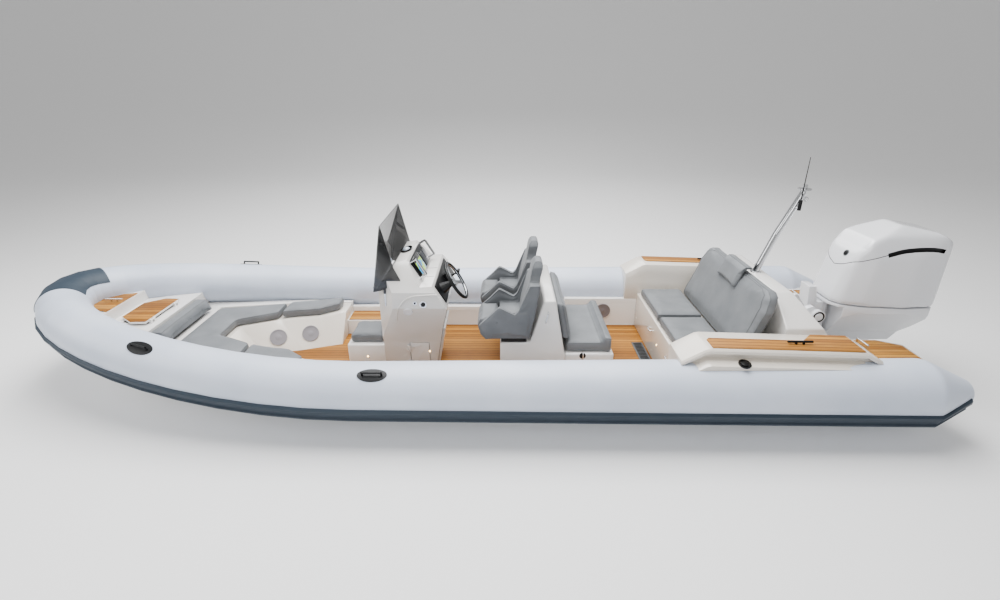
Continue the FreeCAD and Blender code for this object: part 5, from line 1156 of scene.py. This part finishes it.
@dataclass
class Console:
    """The steering console with its instruments, wheel, throttle, rails and windscreen."""

    wheel_middle: Vector = field(default_factory=lambda: Vector((0.096, 0.244, 1.024)))
    rim_inner: float = 0.165
    dash_foot: Vector = field(default_factory=lambda: Vector((0.4035, 0.0, 1.0385)))
    dash_head: Vector = field(default_factory=lambda: Vector((0.526, 0.0, 1.243)))

    def build(self) -> None:
        """Finish the console and fit it out."""
        Moulding(("console",), CONSOLE_GELCOAT, 0.016, 4, 24).build()
        Moulding(("dashboard",), SATIN_BLACK, 0.006).build()
        Moulding(("plotter",), GLOSS_BLACK, 0.006).build()
        Moulding(("windscreen",), GLASS, 0.003, 2).build()
        Moulding(("footrest",), GELCOAT, 0.006).build()
        Moulding(("seat_slides",), SATIN_BLACK, 0.004).build()
        CHROME.paint(FRAME["nodes"]["console_rails"])
        SATIN_BLACK.paint(FRAME["nodes"]["steering_column"])
        SATIN_BLACK.paint(FRAME["nodes"]["throttle"])
        TwoTone(("steering_wheel",), SATIN_BLACK, 0.0, second=STEEL, is_second=self.is_spoke).build()
        self.add_compass()
        self.add_screens()
        self.add_side_panel()
        self.add_shelf_lines()

    def add_compass(self) -> None:
        """Sink an oval black compass with a clear dome in the top of the console; the dome is drawn opaque in
        a pale blue-grey that is a painted reflection.
        """
        spot, normal = skin("console", (0.585, -0.02, 1.24))
        bezel = disc_piece("compass_bezel", spot - normal * 0.002, normal, 0.07, 0.016, 0.014, 0.006)
        bezel.scale = (0.8, 1.25, 1.0)
        bezel.location = (spot.x * 0.2, -spot.y * 0.25, 0.0)
        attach(GLOSS_BLACK.paint(settle(bezel)), "boat")
        bpy.ops.object.select_all(action="DESELECT")
        bpy.ops.mesh.primitive_uv_sphere_add(segments=40, ring_count=20, radius=0.038, location=spot)
        dome = bpy.context.object
        dome.name = "compass_dome_painted_reflection"
        dome.scale = (1.0, 1.2, 0.8)
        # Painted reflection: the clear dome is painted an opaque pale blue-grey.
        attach(DOME_PAINTED_REFLECTION.paint(smooth(settle(dome), 180.0)), "boat")

    def panel(self, label: str, low: tuple[float, float], high: tuple[float, float], lift: float,
              surface: Surface, depth: float = 0.004, rounding: float = 0.002) -> bpy.types.Object:
        """Lay a flat panel on the upper dash.

        Args:
            label: The piece's name.
            low: Its lowest place across the boat and up the dash, in metres.
            high: Its highest place across the boat and up the dash.
            lift: How far its back stands off the dash.
            surface: Its finish.
            depth: Its thickness.
            rounding: The radius of its edges.

        Returns:
            The panel, riding on the boat.
        """
        piece = box_piece(label, (low[1], low[0], lift), (high[1], high[0], lift + depth), rounding)
        along = (self.dash_head - self.dash_foot).normalized()
        out = Vector((0.0, -1.0, 0.0)).cross(along)
        piece.matrix_world = Matrix.Translation(self.dash_foot) @ Matrix(
            (along, Vector((0.0, 1.0, 0.0)), out)).transposed().to_4x4()
        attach(surface.paint(settle(piece)), "boat")
        return piece

    def add_screens(self) -> None:
        """Light the plotter's chart, set a dark display beside it and a row of switches above them."""
        self.panel("plotter_chart", (0.016, 0.032), (0.247, 0.152), 0.0245, CHART, 0.0022)
        self.panel("display_bezel", (-0.275, 0.022), (-0.022, 0.162), 0.0105, GLOSS_BLACK, 0.012, 0.004)
        self.panel("display_glass", (-0.262, 0.034), (-0.035, 0.15), 0.0225, SCREEN_GLASS, 0.0016)
        for number in range(8):
            across = -0.25 + number * 0.062
            self.panel("dash_switch_%d" % number, (across, 0.166), (across + 0.03, 0.178), 0.0105,
                       GRATE_PLASTIC, 0.005)

    def add_side_panel(self) -> None:
        """Raise an arched line on each side of the console, and set the lock, caps and lamp on port."""
        for side, word in ((1.0, "port"), (-1.0, "starboard")):
            bead_on("console", "side_arch_" + word, [
                (0.64, 0.5 * side, 0.66), (0.615, 0.5 * side, 0.80), (0.584, 0.5 * side, 0.875),
                (0.527, 0.5 * side, 0.941), (0.443, 0.5 * side, 0.966), (0.30, 0.5 * side, 0.978),
                (0.235, 0.5 * side, 0.978)], 0.009, CONSOLE_GELCOAT)
        round_fitting("console", "lock_ring", (0.447, 0.5, 0.90), 0.019, 0.007, CHROME, 0.006, 0.002)
        round_fitting("console", "lock_barrel", (0.447, 0.5, 0.90), 0.008, 0.009, DARK_METAL)
        round_fitting("console", "socket_ring", (0.375, 0.5, 0.888), 0.033, 0.008, CHROME, 0.008, 0.003)
        round_fitting("console", "socket_cap", (0.375, 0.5, 0.888), 0.02, 0.01, SATIN_BLACK)
        round_fitting("console", "filler_cap", (0.518, 0.47, 0.815), 0.042, 0.014, WHITE_ENAMEL, 0.009, 0.004)
        _, normal = skin("console", (0.74, 0.42, 0.90))
        foot, _ = skin("console", (0.745, 0.42, 0.84))
        head, _ = skin("console", (0.735, 0.42, 0.96))
        lift = normal * 0.004
        bar = CHROME.paint(pipe("side_lamp", [tuple(foot + lift), tuple(head + lift)], 0.011))
        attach(bar, "boat")
        tip = head + (head - foot).normalized() * 0.045
        cap = GLOSS_BLACK.paint(pipe("side_lamp_head", [tuple(head + lift), tuple(tip + lift)], 0.014))
        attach(cap, "boat")

    def add_shelf_lines(self) -> None:
        """Draw the two joints that cross the shelf below the dash."""
        for number, across in enumerate((0.20, -0.04)):
            bead_on("console", "shelf_joint_%d" % number,
                    [(0.40, across, 1.045), (0.30, across, 1.05)], 0.0022, GRATE_PLASTIC, 0.001)

    def is_spoke(self, place: Vector) -> bool:
        """Tell whether a place on the wheel lies inside its rim."""
        return (place - self.wheel_middle).length < self.rim_inner


@dataclass
class Fittings:
    """Stainless fittings, mast and lamps."""

    def build(self) -> None:
        """Polish the steel, blacken the whip aerial, and set the caps, handles and lamps."""
        TwoTone(("deck_fittings",), CHROME, 0.0, second=DARK_METAL, is_second=self.is_cleat).build()
        CHROME.paint(FRAME["nodes"]["mast"])
        TwoTone(("mast_fittings",), CHROME, 0.0, second=SATIN_BLACK,
                is_second=lambda place: place.y > 0.07).build()
        self.add_caps()
        self.add_handles()
        self.add_lamps()

    def is_cleat(self, place: Vector) -> bool:
        """Tell whether a place belongs to the dark cleats on the arms' caps."""
        return -2.85 < place.x < -2.55 and abs(place.y) > 0.98

    def add_caps(self) -> None:
        """Set the black filler cap in the side of each arm, in a gloss black ring that is painted shade for
        the dark recess round it.
        """
        for side, word in ((1.0, "port"), (-1.0, "starboard")):
            # The gloss black ring is painted shade for the dark recess round the filler; the cap itself is
            # black.
            round_fitting("arm_" + word, "fuel_cap_painted_shade_ring_" + word, (-2.22, 1.2 * side, 0.70), 0.05, 0.008,
                          GLOSS_BLACK, 0.012, 0.003)
            round_fitting("arm_" + word, "fuel_cap_" + word, (-2.22, 1.2 * side, 0.70), 0.03, 0.014,
                          SATIN_BLACK)

    def add_handles(self) -> None:
        """Set the small steel handles on the seats' bases and the helm module, with a flat black disc of
        painted shade for the recess behind the aft one.
        """
        out = Vector((0.0, 0.028, 0.0))
        foot, _ = skin("aft_seat_moulding", (-1.077, 0.5, 0.33))
        grab_handle("aft_seat_moulding", "aft_locker_handle", foot, foot + Vector((0.0, 0.0, 0.075)), out)
        # A flat black disc behind the handle: painted shade standing in for the hollow of the recess.
        round_fitting("aft_seat_moulding", "aft_locker_recess_painted_shade", (-1.077, 0.5, 0.367), 0.03, 0.002,
                      SATIN_BLACK)
        for number, across in enumerate((0.52, -0.1)):
            foot, _ = skin("bench_moulding", (-1.86, across, 0.34))
            grab_handle("bench_moulding", "bench_locker_handle_%d" % number, foot,
                        foot + Vector((0.0, -0.08, 0.0)), Vector((0.028, 0.0, 0.0)))
        foot, _ = skin("helm_module", (-0.72, 0.52, 0.72))
        grab_handle("helm_module", "module_handle", foot, foot + Vector((-0.02, 0.0, 0.1)), out)

    def add_lamps(self) -> None:
        """Set the small warm courtesy lamps low on the mouldings."""
        spots = (
            ("aft_seat_moulding", (-1.037, 0.5, 0.29)), ("aft_seat_moulding", (-1.037, 0.5, 0.23)),
            ("helm_module", (-0.38, 0.52, 0.30)), ("helm_module", (-0.80, 0.52, 0.30)),
            ("console", (0.45, 0.30, 0.30)), ("front_seat_moulding", (1.0, 0.22, 0.2)),
            ("bench_moulding", (-1.86, 0.62, 0.28)), ("bench_moulding", (-1.86, 0.1, 0.28)),
            ("deck_liner", (-1.9, -0.83, 0.24)), ("deck_liner", (-0.4, -0.83, 0.24)),
            ("deck_liner", (0.6, -0.83, 0.24)), ("bow_seat_moulding", (1.55, 0.5, 0.2)),
        )
        for number, (node, place) in enumerate(spots):
            round_fitting(node, "lamp_ring_%02d" % number, place, 0.014, 0.004, CHROME, 0.004, 0.001)
            round_fitting(node, "lamp_%02d" % number, place, 0.009, 0.006, WARM_LAMP)


@dataclass
class Motor:
    """The outboard motor: a round white cover with a dark scoop, its engine, leg, bracket and propeller."""

    middle: Vector = field(default_factory=lambda: Vector((-3.95, 0.0, 1.1)))
    rounding: float = 0.07
    voxel: float = 0.012
    side: float = 0.3
    lean: float = 0.1
    lean_from: float = 0.82
    lean_height: float = 0.5
    lean_x: float = -3.95
    lean_length: float = 0.5
    flush_port: Vector = field(default_factory=lambda: Vector((-3.47, 0.06, 1.28)))
    tilt_end: Vector = field(default_factory=lambda: Vector((-3.346, 0.179, 0.649)))
    housing_radius: float = 0.064
    housing_depth: float = 0.045
    ring_radius: float = 0.054
    cap_radius: float = 0.036
    sunk: float = 0.002
    scoop_radius: float = 0.02
    seam_radius: float = 0.003
    groove_bend: float = 0.12
    groove_pace: float = 0.02
    groove_skip: float = 0.002

    def cover(self) -> bpy.types.Object:
        """Make the cover as one closed form with flowing edges, its front leaned back.

        Returns:
            The cover, not yet grooved.
        """
        piece = copy_of("motor_cowl", "motor_cover")
        edit(piece)
        bpy.ops.mesh.select_all(action="DESELECT")
        leave_edit()
        for face in piece.data.polygons:
            face.select = (face.center - self.middle).dot(face.normal) < 0.0
        bpy.ops.object.mode_set(mode="EDIT")
        bpy.ops.mesh.delete(type="FACE")
        bpy.ops.mesh.select_all(action="SELECT")
        bpy.ops.mesh.fill_holes(sides=0)
        bpy.ops.mesh.normals_make_consistent(inside=False)
        leave_edit()
        apply(piece, "BEVEL", width=self.rounding, segments=5, limit_method="ANGLE",
              angle_limit=math.radians(8), use_clamp_overlap=True)
        apply(piece, "REMESH", mode="VOXEL", voxel_size=self.voxel, adaptivity=0.0)
        apply(piece, "SMOOTH", factor=0.5, iterations=60)
        for point in piece.data.vertices:
            rise = min(max((point.co.z - self.lean_from) / self.lean_height, 0.0), 1.0)
            ahead = min(max((point.co.x - self.lean_x) / self.lean_length, 0.0), 1.0)
            point.co.x -= self.lean * rise * ahead
        return piece

    def add_actuator(self) -> None:
        """Set the round steering actuator with its dark ring over the tilt tube's port end."""
        port = Vector((0.0, 1.0, 0.0))
        face = self.tilt_end + port * self.housing_depth
        barrel = WHITE_ENAMEL.paint(disc_piece("steering_actuator", self.tilt_end, port, self.housing_radius,
                                               self.housing_depth))
        ring = SATIN_BLACK.paint(disc_piece("actuator_ring", face - port * self.sunk, port,
                                            self.ring_radius, depth=0.006, rim=0.014, sink=0.003))
        cap = WHITE_ENAMEL.paint(disc_piece("actuator_cap", face, port, self.cap_radius, depth=0.008))
        for piece in (barrel, ring, cap):
            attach(piece, body_of("motor_clamp"))

    def groove(self, cover: bpy.types.Object, label: str, points: list, radius: float) -> None:
        """Cut a groove into the cover on both sides, its walls black.

        Args:
            cover: The cover.
            label: The groove's name.
            points: The groove's line in metres on the port side.
            radius: Half its width.
        """
        for side in (1.0, -1.0):
            corners = [(x, y * side, z) for x, y, z in points]
            line = [Vector(place) for place in bent(corners, self.groove_bend)]
            on_skin = []
            for start, end in zip(line, line[1:]):
                stretch = (end - start).length
                if stretch < self.groove_skip:
                    continue
                steps = max(1, round(stretch / self.groove_pace))
                for step in range(steps):
                    _, spot, _, _ = cover.closest_point_on_mesh(start.lerp(end, step / steps))
                    on_skin.append(tuple(spot))
            cutter = SATIN_BLACK.paint(pipe(label, on_skin, radius, sides=3))
            cut_by(cover, cutter)

    def build(self) -> None:
        """Shape, groove and finish the motor."""
        cover = WHITE_ENAMEL.paint(self.cover())
        scoop = [(-3.80, self.side, 1.285), (-3.95, self.side, 1.33), (-4.18, self.side, 1.345),
                 (-4.36, self.side, 1.30)]
        self.groove(cover, "cover_scoop", scoop, self.scoop_radius)
        seam = [(-3.45, 0.0, 1.13), (-3.50, 0.14, 1.16), (-3.63, 0.25, 1.225), (-3.82, self.side, 1.295)]
        self.groove(cover, "cover_seam", seam, self.seam_radius)
        smooth(cover, 40.0)
        for label, radius, depth, surface in (("flush_port_ring", 0.03, 0.006, GRATE_PLASTIC),
                                              ("flush_port", 0.022, 0.012, SATIN_BLACK)):
            _, spot, normal, _ = cover.closest_point_on_mesh(self.flush_port)
            piece = surface.paint(disc_piece(label, spot - normal * self.sunk, normal, radius, depth))
            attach(piece, "motor")
        stand_for(cover, "motor_cowl")
        self.add_actuator()
        Moulding(("motor_leg",), WHITE_ENAMEL, 0.012, 3, 20).build()
        Moulding(("motor_clamp", "swivel_bracket"), WHITE_ENAMEL, 0.006, 3).build()
        DARK_METAL.paint(FRAME["nodes"]["engine_block"])
        STEEL.paint(FRAME["nodes"]["propeller"])


def cut_by(piece: bpy.types.Object, cutter: bpy.types.Object) -> None:
    """Take the cutter's form out of a piece, its finish left on the cut.

    Args:
        piece: The piece to cut.
        cutter: The form to take out, which is then gone.
    """
    for material in cutter.data.materials:
        if material.name not in [slot.name for slot in piece.data.materials]:
            piece.data.materials.append(material)
    apply(piece, "BOOLEAN", operation="DIFFERENCE", object=cutter, solver="EXACT", material_mode="TRANSFER")
    bpy.data.objects.remove(cutter)


# Studio

@dataclass
class Studio:
    """The floor at the waterline, the soft lights and the camera at the photograph's viewing angle."""

    lens: float = 18.864
    eye: Vector = field(default_factory=lambda: Vector((-0.3168, 4.7686, 2.7429)))
    pitch: float = math.radians(22.96)
    yaw: float = math.radians(0.11)
    roll: float = math.radians(0.10)
    sky: float = 0.38

    def add_floor(self) -> None:
        """Lay a plain pale floor at the waterline that curves up into a wall far behind."""
        bpy.ops.mesh.primitive_plane_add(size=80.0, location=(0.0, 20.0, 0.0))
        floor = bpy.context.object
        floor.name = "studio_floor"
        settle(floor)
        edit(floor)
        bpy.ops.mesh.select_all(action="DESELECT")
        leave_edit()
        for edge in floor.data.edges:
            edge.select = all(floor.data.vertices[end].co.y < -10.0 for end in edge.vertices)
        bpy.ops.object.mode_set(mode="EDIT")
        bpy.ops.mesh.select_mode(type="EDGE")
        bpy.ops.mesh.extrude_region_move(TRANSFORM_OT_translate={"value": (0.0, 0.0, 30.0)})
        leave_edit()
        for edge in floor.data.edges:
            edge.select = all(abs(floor.data.vertices[end].co.y + 20.0) < 0.1
                              and abs(floor.data.vertices[end].co.z) < 0.1 for end in edge.vertices)
        bpy.ops.object.mode_set(mode="EDIT")
        bpy.ops.mesh.bevel(offset=9.0, segments=24, affect="EDGES")
        leave_edit()
        FLOOR.paint(smooth(floor, 60.0))

    def add_light(self, name: str, place: tuple[float, float, float], size: float, power: float) -> None:
        """Hang one square soft light that faces the boat.

        Args:
            name: The light's name.
            place: Its place in metres.
            size: Its side in metres.
            power: Its power in watts.
        """
        bpy.ops.object.light_add(type="AREA", location=place)
        light = bpy.context.object
        light.name = name
        light.data.shape = "SQUARE"
        light.data.size = size
        light.data.energy = power
        aim = Vector((0.0, 0.0, 0.3)) - Vector(place)
        light.rotation_euler = aim.to_track_quat("-Z", "Y").to_euler()

    def add_lights(self) -> None:
        """Hang the studio's lights and set a soft even sky."""
        self.add_light("overhead_light", (0.0, -0.6, 7.0), 6.0, 780.0)
        self.add_light("port_light", (1.5, 8.0, 5.0), 5.0, 150.0)
        self.add_light("bow_light", (8.0, 2.0, 4.0), 4.0, 150.0)
        self.add_light("wall_light", (0.0, -9.0, 9.0), 8.0, 500.0)
        world = bpy.context.scene.world or bpy.data.worlds.new("studio")
        bpy.context.scene.world = world
        world.use_nodes = True
        background = world.node_tree.nodes["Background"]
        background.inputs["Color"].default_value = (1.0, 1.0, 1.0, 1.0)
        background.inputs["Strength"].default_value = self.sky

    def add_camera(self) -> None:
        """Set the camera where the photograph's was."""
        ahead = Vector((
            math.sin(self.yaw) * math.cos(self.pitch),
            -math.cos(self.yaw) * math.cos(self.pitch),
            -math.sin(self.pitch),
        ))
        right = ahead.cross(Vector((0.0, 0.0, 1.0))).normalized()
        above = right.cross(ahead)
        turned_right = right * math.cos(self.roll) + above * math.sin(self.roll)
        turned_above = above * math.cos(self.roll) - right * math.sin(self.roll)
        turn = Matrix((turned_right, turned_above, -ahead)).transposed()
        bpy.ops.object.camera_add(location=self.eye)
        camera = bpy.context.object
        camera.name = "studio_camera"
        camera.rotation_euler = turn.to_euler()
        camera.data.sensor_width = 36.0
        camera.data.lens = self.lens
        bpy.context.scene.camera = camera

    def build(self) -> None:
        """Make the whole studio."""
        self.add_floor()
        self.add_lights()
        self.add_camera()
        bpy.context.scene.view_settings.look = "AgX - Medium High Contrast"


def main() -> None:
    """Build the dressed boat and its studio."""
    logging.basicConfig(level=logging.INFO, format="%(message)s")
    bpy.ops.object.select_all(action="SELECT")
    bpy.ops.object.delete()
    FRAME.update(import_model())
    for part in (Hull(), Tubes(), Upholstery(), Console(), Fittings(), Motor(), Studio()):
        part.build()
        LOG.info("built %s", type(part).__name__)


if __name__ == "__main__":
    main()
